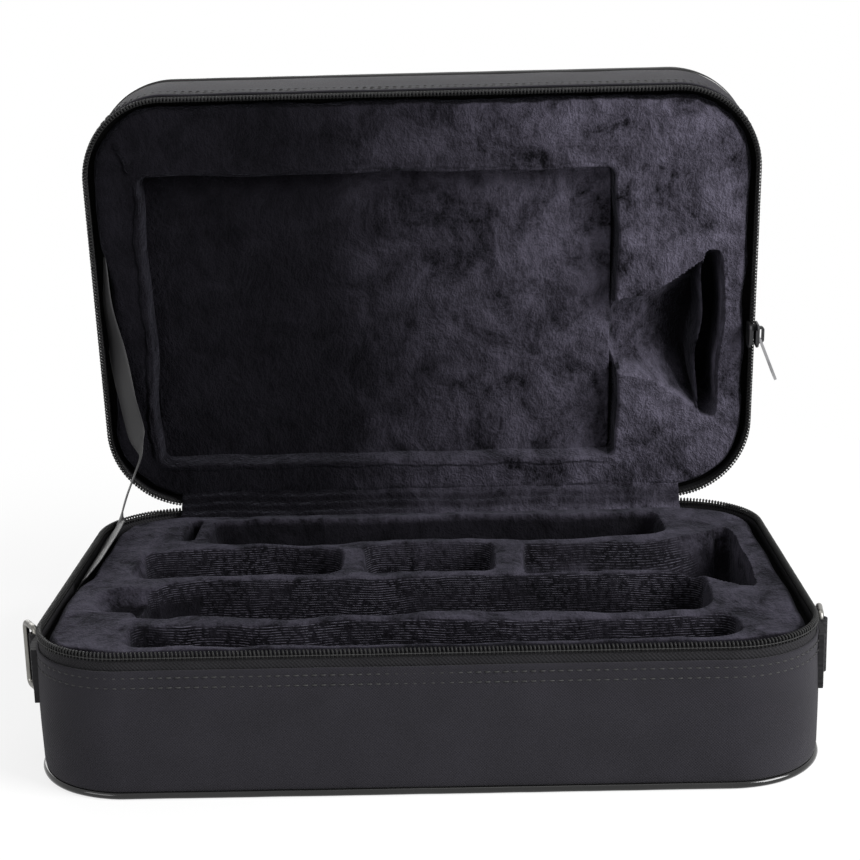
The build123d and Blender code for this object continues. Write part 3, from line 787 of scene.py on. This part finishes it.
def baseInset(x, y):
    beside = fadeOut(x, *gaps["ribbonX"]) * within(y, *gaps["baseRibbonY"])
    front = fadeOut(y, *gaps["frontY"]) * fadeOut(np.abs(x), *gaps["frontX"])
    wavy = gaps["baseWave"] + gaps["baseWave"] * softNoise(x, y, 0.06, 21)
    return plush["inset"] + wavy + np.maximum(gaps["baseRibbon"] * beside, gaps["front"] * front)


def lidInset(x, y):
    beside = fadeOut(x, *gaps["ribbonX"]) * within(y, *gaps["lidRibbonY"])
    scallop = gaps["scallop"] * np.abs(np.sin(pi * (x + 0.5 * y) / gaps["scallopPitch"]))
    wavy = gaps["lidWave"] * softNoise(x, y, 0.035, 22)
    return plush["inset"] + wavy + scallop + gaps["lidRibbon"] * beside


wallsX = [value for pocket in basePockets for value in pocket["x"]]
wallsX += [*bell["slot"], bell["basePlaces"][0]]
wallsY = [pocket[side][0] for pocket in basePockets for side in ("back", "front")]
plushBlock("base", baseLevel, wallsX, wallsY, baseInset, baseRowsAndPaintedShade, basePlush, 31)

wallsX = [*lidRecess["x"], *bell["slot"]]
wallsY = [lidRecess["back"][0], lidRecess["front"][0], bell["axisY"] - bell["slotRadius"],
          bell["axisY"] + bell["slotRadius"]]
plushBlock("lid", lidLevel, wallsX, wallsY, lidInset, lidRowsAndPaintedShade, lidPlush, 41)
print("plush inserts made")


cover = {
    "crown": 0.0004,  # foam-backed cloth standing proud at mid-height
    "hemDrop": 0.008,
    "stitchDrops": (0.011, 0.0155),
    "stitchPitch": 0.0039,
    "pucker": 0.00028,
    "foot": 0.0036,
}


def coverProfile(height):
    crown = cover["crown"]
    hem = height - cover["hemDrop"]
    foot = cover["foot"]
    outer = [(0.0011, foot - 0.0008), (0.0005, foot), (0.00005, foot + 0.0012),
             (-0.5 * crown, foot + 0.004)]
    rise = height - 0.019 - foot - 0.007
    for share in (0.15, 0.3, 0.45, 0.6, 0.75, 0.9):
        outer.append((-crown * (0.5 + 2 * share * (1 - share)), foot + 0.005 + share * rise))
    for drop in np.arange(0.0185, cover["hemDrop"] + 0.0003, -0.0007):
        outer.append((-0.3 * crown, height - drop))
    outer += [(0.0, hem - 0.0002), (0.00018, hem + 0.0001), (0.00055, hem + 0.0002),
              (0.0009, hem + 0.0001), (0.00115, hem - 0.0004)]
    inner = [(0.00118, height - 0.0171), (0.00205, height - 0.0175), (0.00205, foot + 0.001),
             (0.0017, foot - 0.0006)]
    return outer + inner


def coverShift(height, seed):
    def shift(along, inset, level):
        skin = inset < 0.001
        slack = 0.00018 * softNoise(along, level, 0.05, seed)
        for number, drop in enumerate(cover["stitchDrops"]):
            near = np.exp(-((level - height + drop) / 0.0009) ** 2)
            beat = 0.6 + 0.4 * np.cos(2 * pi * (along / cover["stitchPitch"] + 0.5 * number))
            slack = slack + cover["pucker"] * near * beat
        return inset + skin * slack, level
    return shift


for half, height in halves:
    side = rimLoft(half + "SideCover", coverProfile(height), caseCloth,
                   shift=coverShift(height, len(half)))
    settle(side, half, "cloth", half + "_cover")
print("covers made")


panel = {"thickness": 0.0012, "inset": 0.0023, "crown": 0.0009, "step": 0.004}  # outer faces


def panelPiece(half):
    inset, step = panel["inset"], panel["step"]
    rings = [0, 0.0006, 0.0014, *np.arange(0.003, case["depth"] / 2 - inset, step)]
    lengths = np.linspace(0, case["around"], 360, endpoint=False)
    points, normals = rimAt(lengths)
    top, low = [], []
    for ring in rings:
        reach = inset + ring
        shrunk = points - normals * min(reach, case["corner"] - 0.002)
        extra = max(reach - case["corner"] + 0.002, 0)
        limit = np.array([case["width"] / 2 - reach, case["depth"] / 2 - reach])
        if extra > 0:
            shrunk = np.clip(shrunk, -np.maximum(limit, 0.0001), np.maximum(limit, 0.0001))
        proud = panel["crown"] * (1 - np.exp(-ring / 0.006)) if half == "lid" else 0.0
        rounding = 0.0005 * np.exp(-ring / 0.0004)
        top.append(np.column_stack([shrunk, np.full(len(points), panel["thickness"])]))
        low.append(np.column_stack([shrunk, np.full(len(points), rounding - proud)]))
    grid = np.concatenate(low[::-1] + top)
    faces = ringFaces(2 * len(rings), len(points), caps=False)
    piece = meshPiece(half + "OuterPanel", grid, faces, caseCloth)
    outward(piece.data, merge=0.00025, fill=True)
    clothMap(piece.data, [vertex.co[:2] for vertex in piece.data.vertices])
    settle(piece, half, "cloth", half + "_panel")


panelPiece("base")
panelPiece("lid")
print("panels made")


def pathTree(name, inputs):
    return nodeGroup(name, "GeometryNodeTree", [("Path", "Geometry", None)] + inputs,
                     [("Result", "Geometry")])


def finishTree(tree, shape, result, finish):  # the ending that both trees have
    solid = addNode(tree, "GeometryNodeRealizeInstances", {0: shape})
    painted = addNode(tree, "GeometryNodeSetMaterial", {0: solid.outputs[0], "Material": finish})
    tree.links.new(painted.outputs[0], result[0])


def buildRepeat():  # a small shape again and again on a path
    inputs = [("Shape", "Object", None), ("Pitch", "Float", 0.00175), ("Stray", "Float", 0.02),
              ("Seed", "Int", 1), ("Finish", "Material", None)]
    tree, given, result = pathTree("repeatAlongPath", inputs)
    spaced = addNode(tree, "GeometryNodeResampleCurve", {0: given[0], "Length": given[2]},
                     mode="LENGTH")
    tangent = addNode(tree, "GeometryNodeInputTangent")
    facing = addNode(tree, "FunctionNodeAlignRotationToVector", {"Vector": tangent.outputs[0]},
                     axis="X", pivot_axis="Z")
    spread = addNode(tree, "FunctionNodeRandomValue",
                     {"Min": times(tree, given[3], -1.0), "Max": given[3], "Seed": given[4]},
                     data_type="FLOAT_VECTOR")
    turned = addNode(tree, "FunctionNodeRotateRotation",
                     {0: facing.outputs[0], 1: spread.outputs[0]}, rotation_space="LOCAL")
    shape = addNode(tree, "GeometryNodeObjectInfo", {"Object": given[1]})
    placed = addNode(tree, "GeometryNodeInstanceOnPoints",
                     {"Points": spaced.outputs[0], "Instance": shape.outputs["Geometry"],
                      "Rotation": turned.outputs[0]})
    finishTree(tree, placed.outputs[0], result, given[5])
    return tree


def buildCord():  # a round cord on a path
    inputs = [("Radius", "Float", 0.00165), ("Sides", "Int", 12), ("Step", "Float", 0.002),
              ("Waver", "Float", 0.0001), ("Finish", "Material", None)]
    tree, given, result = pathTree("cordAlongPath", inputs)
    spaced = addNode(tree, "GeometryNodeResampleCurve", {0: given[0], "Length": given[3]},
                     mode="LENGTH")
    place = addNode(tree, "GeometryNodeInputPosition")
    waver = addNode(tree, "ShaderNodeTexNoise",
                    {"Vector": place.outputs[0], "Scale": 45.0, "Detail": 2.0})
    centred = addNode(tree, "ShaderNodeVectorMath",
                      {0: waver.outputs["Color"], 1: (0.5, 0.5, 0.5)}, operation="SUBTRACT")
    offset = addNode(tree, "ShaderNodeVectorMath", {0: centred.outputs[0], "Scale": given[4]},
                     operation="SCALE")
    moved = addNode(tree, "GeometryNodeSetPosition",
                    {0: spaced.outputs[0], "Offset": offset.outputs[0]})
    ring = addNode(tree, "GeometryNodeCurvePrimitiveCircle",
                   {"Resolution": given[2], "Radius": given[1]})
    tube = addNode(tree, "GeometryNodeCurveToMesh",
                   {0: moved.outputs[0], 1: ring.outputs[0], "Fill Caps": True})
    soft = addNode(tree, "GeometryNodeSetShadeSmooth", {0: tube.outputs[0]})
    finishTree(tree, soft.outputs[0], result, given[5])
    return tree


repeatTree = buildRepeat()
cordTree = buildCord()


def runTree(piece, tree, values, name):
    modifier = piece.modifiers.new("build", "NODES")
    modifier.node_group = tree
    for socket in tree.interface.items_tree:
        if socket.in_out == "INPUT" and socket.name in values:
            modifier[socket.identifier] = values[socket.name]
    made = plainCopy(piece, name)
    made.data.shade_smooth()
    return made


def rowOf(shape, path, pitch, stray, seed, finish, name):
    return runTree(path, repeatTree, {"Shape": shape, "Pitch": pitch, "Stray": stray,
                                      "Seed": seed, "Finish": finish}, name)


def shapeOnly(name, points, faces):  # a small shape that a tree repeats
    mesh = bpy.data.meshes.new(name)
    mesh.from_pydata(points, [], faces)
    mesh.shade_smooth()
    outward(mesh)
    return bpy.data.objects.new(name, mesh)


def bentWire(name, path, radius, sides):  # closed tube of short straight steps
    path = [Vector(p) for p in path]
    points = []
    for index, place in enumerate(path):
        ahead = (path[min(index + 1, len(path) - 1)] - path[max(index - 1, 0)]).normalized()
        across = Vector((1, 0, 0)) if abs(ahead.x) < 0.9 else Vector((0, 1, 0))
        across = (across - ahead * across.dot(ahead)).normalized()
        other = ahead.cross(across)
        width = radius(index) if callable(radius) else radius
        for side in range(sides):
            angle = 2 * pi * side / sides
            points.append(place + width * (cos(angle) * across + sin(angle) * other))
    return shapeOnly(name, points, ringFaces(len(path), sides))


piping = {"radius": 0.00165, "inset": 0.00065, "level": 0.00175, "waver": 0.0003}

for half, height in halves:
    path = rimCurve(half + "PipingPath", piping["inset"], piping["level"], True, step=0.002)
    cord = runTree(path, cordTree, {"Radius": piping["radius"], "Sides": 14, "Step": 0.0025,
                                    "Waver": piping["waver"], "Finish": vinylPiping},
                   half + "PipingCord")
    settle(cord, half, "piping", half + "_piping")
print("piping made")


zipper = {
    "pitch": 0.00175,
    "wire": 0.00042,
    "coilHeight": 0.0036,
    "reach": 0.00078,  # middle of the tape out to a leg of the coil
    "outerSeam": 0.0005,  # a leg of the coil to the seam outside it
    "innerSeam": 0.0001,  # less, because the slider runs here
    "tapeWidth": 0.017,
    "tapeThickness": 0.0008,
    "endGap": 0.0053,  # end of the tape to the first tooth
}


def tapeProfile(height):
    middle, half = case["clothMiddle"], zipper["tapeThickness"] / 2
    top, low = height - 0.0016, height - zipper["tapeWidth"]
    profile = [(middle - half, low)]
    for drop in np.arange(0.0150, 0.0035, -0.0008):
        ridge = 0.00012 * (0.5 + 0.5 * cos(2 * pi * drop / 0.0024))
        profile.append((middle - half - ridge, height - drop))
    profile += [(middle - half, height - 0.0030), (middle - half + 0.0001, top - 0.0002),
                (middle, top), (middle + half - 0.0001, top - 0.0002),
                (middle + half, height - 0.0030), (middle + half, low)]
    return profile


def coilTooth():  # one turn of the coil, head at the zip edge
    reach, wire, tall = zipper["reach"], zipper["wire"], zipper["coilHeight"]
    lean = 0.2 * zipper["pitch"]
    path = [(-lean, reach, -tall), (-lean, reach + 0.00012, -0.55 * tall),
            (-0.4 * lean, reach, -wire * 2.0), (0, 0.5 * reach, -wire),
            (0, -0.5 * reach, -wire), (0.4 * lean, -reach, -wire * 2.0),
            (lean, -reach - 0.00012, -0.55 * tall), (lean, -reach, -tall)]
    return bentWire("coilTooth", path, lambda i: wire * (1.22 if 2 <= i <= 5 else 0.95), 6)


def threadStitch(name, length, radius, sag):
    stations = [(-0.5, 0.35), (-0.42, 0.85), (-0.15, 1.0), (0.15, 1.0), (0.42, 0.85), (0.5, 0.35)]
    path = [(share * length, -sag * (2 * abs(share)) ** 2, 0) for share, _ in stations]
    return bentWire(name, path, lambda i: radius * stations[i][1], 6)


toothShape = coilTooth()
coilStitch = threadStitch("coilStitch", 0.0019, 0.00022, 0.00025)

for half, height in halves:
    tape = rimLoft(half + "ZipTape", tapeProfile(height), tapeWeave, step=0.0022, whole=False)
    settle(tape, half, "tape", half + "_zip_tape")
    path = rimCurve(half + "CoilPath", case["clothMiddle"], height, False,
                    trim=zipper["endGap"])
    teeth = rowOf(toothShape, path, zipper["pitch"], 0.03, 5, coilNylon, half + "ZipTeeth")
    settle(teeth, half, "zip_coil", half + "_zip_coil")
    for place, out in (("Outer", 1), ("Inner", -1)):
        inset = case["clothMiddle"] - out * (zipper["reach"] + zipper[place.lower() + "Seam"])
        path = rimCurve(half + "SeamPath", inset, height - 0.62 * zipper["coilHeight"], False,
                        trim=zipper["endGap"])
        seam = rowOf(coilStitch, path, zipper["pitch"], 0.08, 6, sewingThread,
                     half + place + "CoilSeam")
        settle(seam, half, "zip_coil")
print("zip made")


stitching = {"length": 0.0025, "radius": 0.00034, "sag": 0.00045, "inset": -0.00008}

hemStitch = threadStitch("hemStitch", stitching["length"], stitching["radius"], stitching["sag"])
for half, height in halves:
    for number, drop in enumerate(cover["stitchDrops"]):
        path = rimCurve(half + "StitchPath", stitching["inset"], height - drop, True)
        row = rowOf(hemStitch, path, cover["stitchPitch"], 0.05, 11 + number, sewingThread,
                    half + "StitchRow" + str(number + 1))
        settle(row, half, "cloth")
print("stitching made")


hingeBand = {
    "foot": 0.017,  # zip edge down to the end of the outer cloth
    "halfLength": 0.1365,
    "insideFootY": 0.0082,
    "insideFootZ": 0.0090,
    "across": 160,
    "along": 40,
    "foldPitch": 0.0052,
    "paintedFoldShade": 0.78,  # painted shade at the fold's bottom, how dark
}


def onLid(y, z):  # the open lid's match of a base point
    turn = radians(case["openAngle"])
    away, up = y - hinge.y, hinge.z - z
    return (hinge.y + away * cos(turn) + up * sin(turn),
            hinge.z - away * sin(turn) + up * cos(turn))


def band(name, route, thickness, halfLength, waver, material, seed):
    # cloth as wide as the hinge, along a (y, z) route
    route = np.array(route)
    steps = pathLengths(route)
    even = np.linspace(0, steps[-1], hingeBand["along"])
    y, z = np.interp(even, steps, route[:, 0]), np.interp(even, steps, route[:, 1])
    for _ in range(6):  # rounds the fold
        y[1:-1] = (y[:-2] + 2 * y[1:-1] + y[2:]) / 4
        z[1:-1] = (z[:-2] + 2 * z[1:-1] + z[2:]) / 4
    headY, headZ = np.gradient(y), np.gradient(z)
    size = np.hypot(headY, headZ)
    sideY, sideZ = -headZ / size, headY / size
    x = np.linspace(-halfLength, halfLength, hingeBand["across"])
    wavy = even[None, :] + 0.0006 * np.sin(2 * pi * x[:, None] / 0.09)
    folds = 0.5 * np.sin(2 * pi * wavy / hingeBand["foldPitch"])
    bumps = waver * (softNoise(x[:, None], even[None, :], 0.035, seed) + folds)
    bumps = bumps * np.sin(pi * even / even[-1])[None, :]
    layers = []
    for out in (thickness / 2, -thickness / 2):
        py = y + sideY * (out + bumps)
        pz = z + sideZ * (out + bumps)
        layers.append(np.stack([np.repeat(x[:, None], len(even), 1), py, pz], 2))
    grid = np.concatenate([layers[0], layers[1][:, ::-1]], 1)
    across = np.concatenate([even, even[::-1]])
    piece = sweptPiece(name, grid, x, across, material)
    # painted shade: the fold's bottom is painted darker through the paintedShade point values
    paintedFoldShade = hingeBand["paintedFoldShade"] * np.sin(pi * across / even[-1]) ** 0.5
    pointValues(piece.data, "paintedShade", np.tile(paintedFoldShade, len(x)))
    return piece


edge = case["baseHeight"]
outerRoute = [(hinge.y, edge - hingeBand["foot"]), (hinge.y, edge - 0.002)]
outerRoute += [onLid(y, z) for y, z in reversed(outerRoute)]
outerHinge = band("outerHingeCloth", outerRoute, 0.0008, case["straightX"] / 2 - 0.0003, 0.0001,
                  hingeCloth, 51)
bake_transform(outerHinge)
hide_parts("hinge_cloth")

foot = (hinge.y - hingeBand["insideFootY"], edge - hingeBand["insideFootZ"])
innerRoute = [foot, (foot[0] + 0.0012, foot[1] + 0.0035), (hinge.y - 0.0032, edge - 0.0012)]
innerRoute += [onLid(y, z) for y, z in reversed(innerRoute)]
innerHinge = band("innerHingeCloth", innerRoute, 0.0014, hingeBand["halfLength"], 0.0009,
                  lidPlush, 52)
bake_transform(innerHinge)
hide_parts("hinge_lining")
print("hinge cloth made")


ribbon = {"width": 0.015, "thickness": 0.0004, "length": 0.238, "curl": 0.0006}


def lidSpot(x, fromHinge, drop, across):  # a station given on the open lid's plush
    turn = radians(case["openAngle"])
    away, level = across[1], across[2]
    return ((x, hinge.y - fromHinge * cos(turn) + drop * sin(turn),
             hinge.z + fromHinge * sin(turn) + drop * cos(turn)),
            (across[0], -away * cos(turn) + level * sin(turn),
             away * sin(turn) + level * cos(turn)))


ribbonStations = [  # middle of the ribbon, and the way its width runs
    lidSpot(-0.1689, 0.139, 0.0125, (0.25, 0, -0.97)),
    lidSpot(-0.1688, 0.116, 0.0070, (0.50, 0, -0.86)),
    lidSpot(-0.1661, 0.092, 0.0065, (0.71, 0, -0.70)),
    lidSpot(-0.1614, 0.066, -0.0010, (0.75, 0, -0.66)),
    lidSpot(-0.1573, 0.044, -0.0040, (0.72, 0, -0.69)),
    ((-0.1548, 0.0970, 0.1011), (0.26, -0.94, 0.20)),
    ((-0.1582, 0.0940, 0.0908), (0.20, -0.95, 0.24)),
    ((-0.1631, 0.0900, 0.0780), (0.20, -0.95, 0.24)),
    ((-0.1654, 0.0880, 0.0703), (0.20, -0.95, 0.24)),
    ((-0.1668, 0.0840, 0.0660), (0.40, -0.74, 0.45)),
    ((-0.1672, 0.0740, 0.0648), (0.68, -0.25, 0.66)),
    ((-0.1675, 0.0560, 0.0635), (0.70, 0.0, 0.71)),
    ((-0.1676, 0.0350, 0.0635), (0.70, 0.0, 0.71)),
    ((-0.1678, 0.0150, 0.0630), (0.68, 0.0, 0.73)),
    ((-0.1700, -0.0040, 0.0605), (0.60, 0.0, 0.80)),
]


def smoothThrough(values, count):  # a smooth line through the stations
    values = np.array(values, float)
    reached = pathLengths(values[:, :3])
    slopes = np.gradient(values, reached, axis=0)
    wanted = np.linspace(0, reached[-1], count)
    result = []
    for place in wanted:
        i = min(np.searchsorted(reached, place, side="right") - 1, len(reached) - 2)
        span = reached[i + 1] - reached[i]
        t = (place - reached[i]) / span
        result.append((2 * t ** 3 - 3 * t ** 2 + 1) * values[i]
                      + (t ** 3 - 2 * t ** 2 + t) * span * slopes[i]
                      + (3 * t ** 2 - 2 * t ** 3) * values[i + 1]
                      + (t ** 3 - t ** 2) * span * slopes[i + 1])
    return np.array(result)


def ribbonPiece():
    line = smoothThrough([middle + across for middle, across in ribbonStations], 150)
    middle, across = line[:, :3], line[:, 3:]
    ahead = np.gradient(middle, axis=0)
    ahead /= np.linalg.norm(ahead, axis=1)[:, None]
    across = across - ahead * np.sum(across * ahead, 1)[:, None]
    across /= np.linalg.norm(across, axis=1)[:, None]
    up = np.cross(ahead, across)
    lanes = np.linspace(-0.5, 0.5, 11)
    half = ribbon["thickness"] / 2
    offsets = [(lane, half) for lane in lanes] + [(lane, -half) for lane in lanes[::-1]]
    rows = [middle + across * ribbon["width"] * lane
            + up * (lift + ribbon["curl"] * (1 - 4 * lane * lane)) for lane, lift in offsets]
    steps = pathLengths(middle)
    print("ribbon length", round(float(steps[-1]), 4))
    across = [lane * ribbon["width"] for lane, _ in offsets]
    return sweptPiece("satinStay", np.stack(rows, 1), steps, across, satinRibbon)


stay = ribbonPiece()
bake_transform(stay)
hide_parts("stay_ribbon")
print("ribbon made")


# the frame's own solids that stay as they are
def dress(material, *nodes):
    for node in nodes:
        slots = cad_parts[node].material_slots
        if slots:
            for slot in slots:
                slot.material = material
        else:
            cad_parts[node].data.materials.append(material)


def boxMap(node, axisU, axisV):  # cloth map of a carried-over solid
    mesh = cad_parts[node].data
    clothMap(mesh, [(vertex.co[axisU], vertex.co[axisV]) for vertex in mesh.vertices])


dress(innerFoam, "base_shell", "lid_shell")
dress(lidPlush, "lid_recess_board")
dress(zipGunmetal, "zip_slider", "slider_bridge")
dress(zipNickel, "zip_pull")
dress(ringSteel, "strap_ring_left", "strap_ring_right")
dress(strapWebbing, "strap_tab_left", "strap_tab_right")
boxMap("strap_tab_left", 1, 2)
boxMap("strap_tab_right", 1, 2)
print("frame parts dressed")


studio = {
    "floorSize": 8.0,
    "floorColor": 0.85,
    "ambient": 0.34,
    "keyPower": 40.0,
    "fillPower": 11.0,
    "topPower": 4.5,
    "backPower": 12.0,
}


def plainTree(holder):
    holder.use_nodes = True
    holder.node_tree.nodes.clear()
    return holder.node_tree


def whiteShare(tree):  # rays that see the ground, not its light
    rays = addNode(tree, "ShaderNodeLightPath").outputs
    seen = mathNode(tree, "MAXIMUM", rays["Is Camera Ray"], rays["Is Glossy Ray"])
    return mathNode(tree, "MAXIMUM", seen, rays["Is Transmission Ray"])


def makeFloor():
    reach = studio["floorSize"] / 2
    corners = [(-reach, -reach, 0), (reach, -reach, 0), (reach, reach, 0), (-reach, reach, 0)]
    material = bpy.data.materials.new("studioFloor")
    tree = plainTree(material)
    place = addNode(tree, "ShaderNodeTexCoord").outputs["Object"]
    far = addNode(tree, "ShaderNodeVectorMath", {0: place}, operation="LENGTH").outputs["Value"]
    pale = (studio["floorColor"],) * 3 + (1,)
    lit = addNode(tree, "ShaderNodeBsdfDiffuse", {"Color": pale})
    white = addNode(tree, "ShaderNodeEmission", {"Color": (1, 1, 1, 1), "Strength": 1.0})
    share = times(tree, whiteShare(tree), remap(tree, far, 0.25, 0.6, 0.78, 1.0))
    mixed = addNode(tree, "ShaderNodeMixShader",
                    {0: share, 1: lit.outputs[0], 2: white.outputs[0]})
    output = addNode(tree, "ShaderNodeOutputMaterial")
    tree.links.new(mixed.outputs[0], output.inputs[0])
    floor = meshPiece("studioFloor", corners, [(0, 1, 2, 3)], material, smooth=False)


def makeWorld():
    world = bpy.data.worlds.new("studioWorld")
    bpy.context.scene.world = world
    tree = plainTree(world)
    dim, bright = [addNode(tree, "ShaderNodeBackground",
                           {"Color": (1, 1, 1, 1), "Strength": strength}).outputs[0]
                   for strength in (studio["ambient"], 1.0)]
    mixed = addNode(tree, "ShaderNodeMixShader", {0: whiteShare(tree), 1: dim, 2: bright})
    output = addNode(tree, "ShaderNodeOutputWorld")
    tree.links.new(mixed.outputs[0], output.inputs[0])


def softBox(name, place, target, size, power):
    data = bpy.data.lights.new(name, "AREA")
    data.shape = "RECTANGLE"
    data.size, data.size_y = size
    data.energy = power
    lamp = bpy.data.objects.new(name, data)
    lamp.location = place
    lamp.rotation_euler = (Vector(target) - Vector(place)).to_track_quat("-Z", "Y").to_euler()
    bpy.context.collection.objects.link(lamp)


makeFloor()
makeWorld()
softBox("keyBox", (1.20, -0.62, 0.85), (0.05, 0.05, 0.12), (0.8, 0.8), studio["keyPower"])
softBox("fillBox", (-1.3, -1.3, 0.8), (0, 0, 0.1), (1.0, 0.8), studio["fillPower"])
softBox("topBox", (0.1, 0.1, 1.6), (0, 0.05, 0), (1.2, 0.8), studio["topPower"])
softBox("backBox", (-0.7, 1.5, 0.8), (0, 0.1, 0.15), (1.2, 0.9), studio["backPower"])

view = {
    "place": (0.01508, -0.79951, 0.32810),
    "yaw": 0.885,
    "pitch": -13.579,
    "roll": 1.417,
    "focalPixels": 1720.77,
    "framePixels": 860,
    "sensor": 36.0,
}

cameraData = bpy.data.cameras.new("studioCamera")
cameraData.sensor_width = view["sensor"]
cameraData.lens = view["focalPixels"] / view["framePixels"] * view["sensor"]
cameraData.clip_start = 0.01
cameraData.clip_end = 50
camera = bpy.data.objects.new("studioCamera", cameraData)
turned = (Matrix.Rotation(radians(view["yaw"]), 4, "Z")
          @ Matrix.Rotation(radians(view["pitch"]), 4, "X")
          @ Matrix.Rotation(radians(view["roll"]), 4, "Y") @ Matrix.Rotation(pi / 2, 4, "X"))
camera.matrix_world = Matrix.Translation(view["place"]) @ turned
bpy.context.collection.objects.link(camera)
bpy.context.scene.camera = camera
bpy.context.scene.view_settings.view_transform = "Standard"
print("studio set")
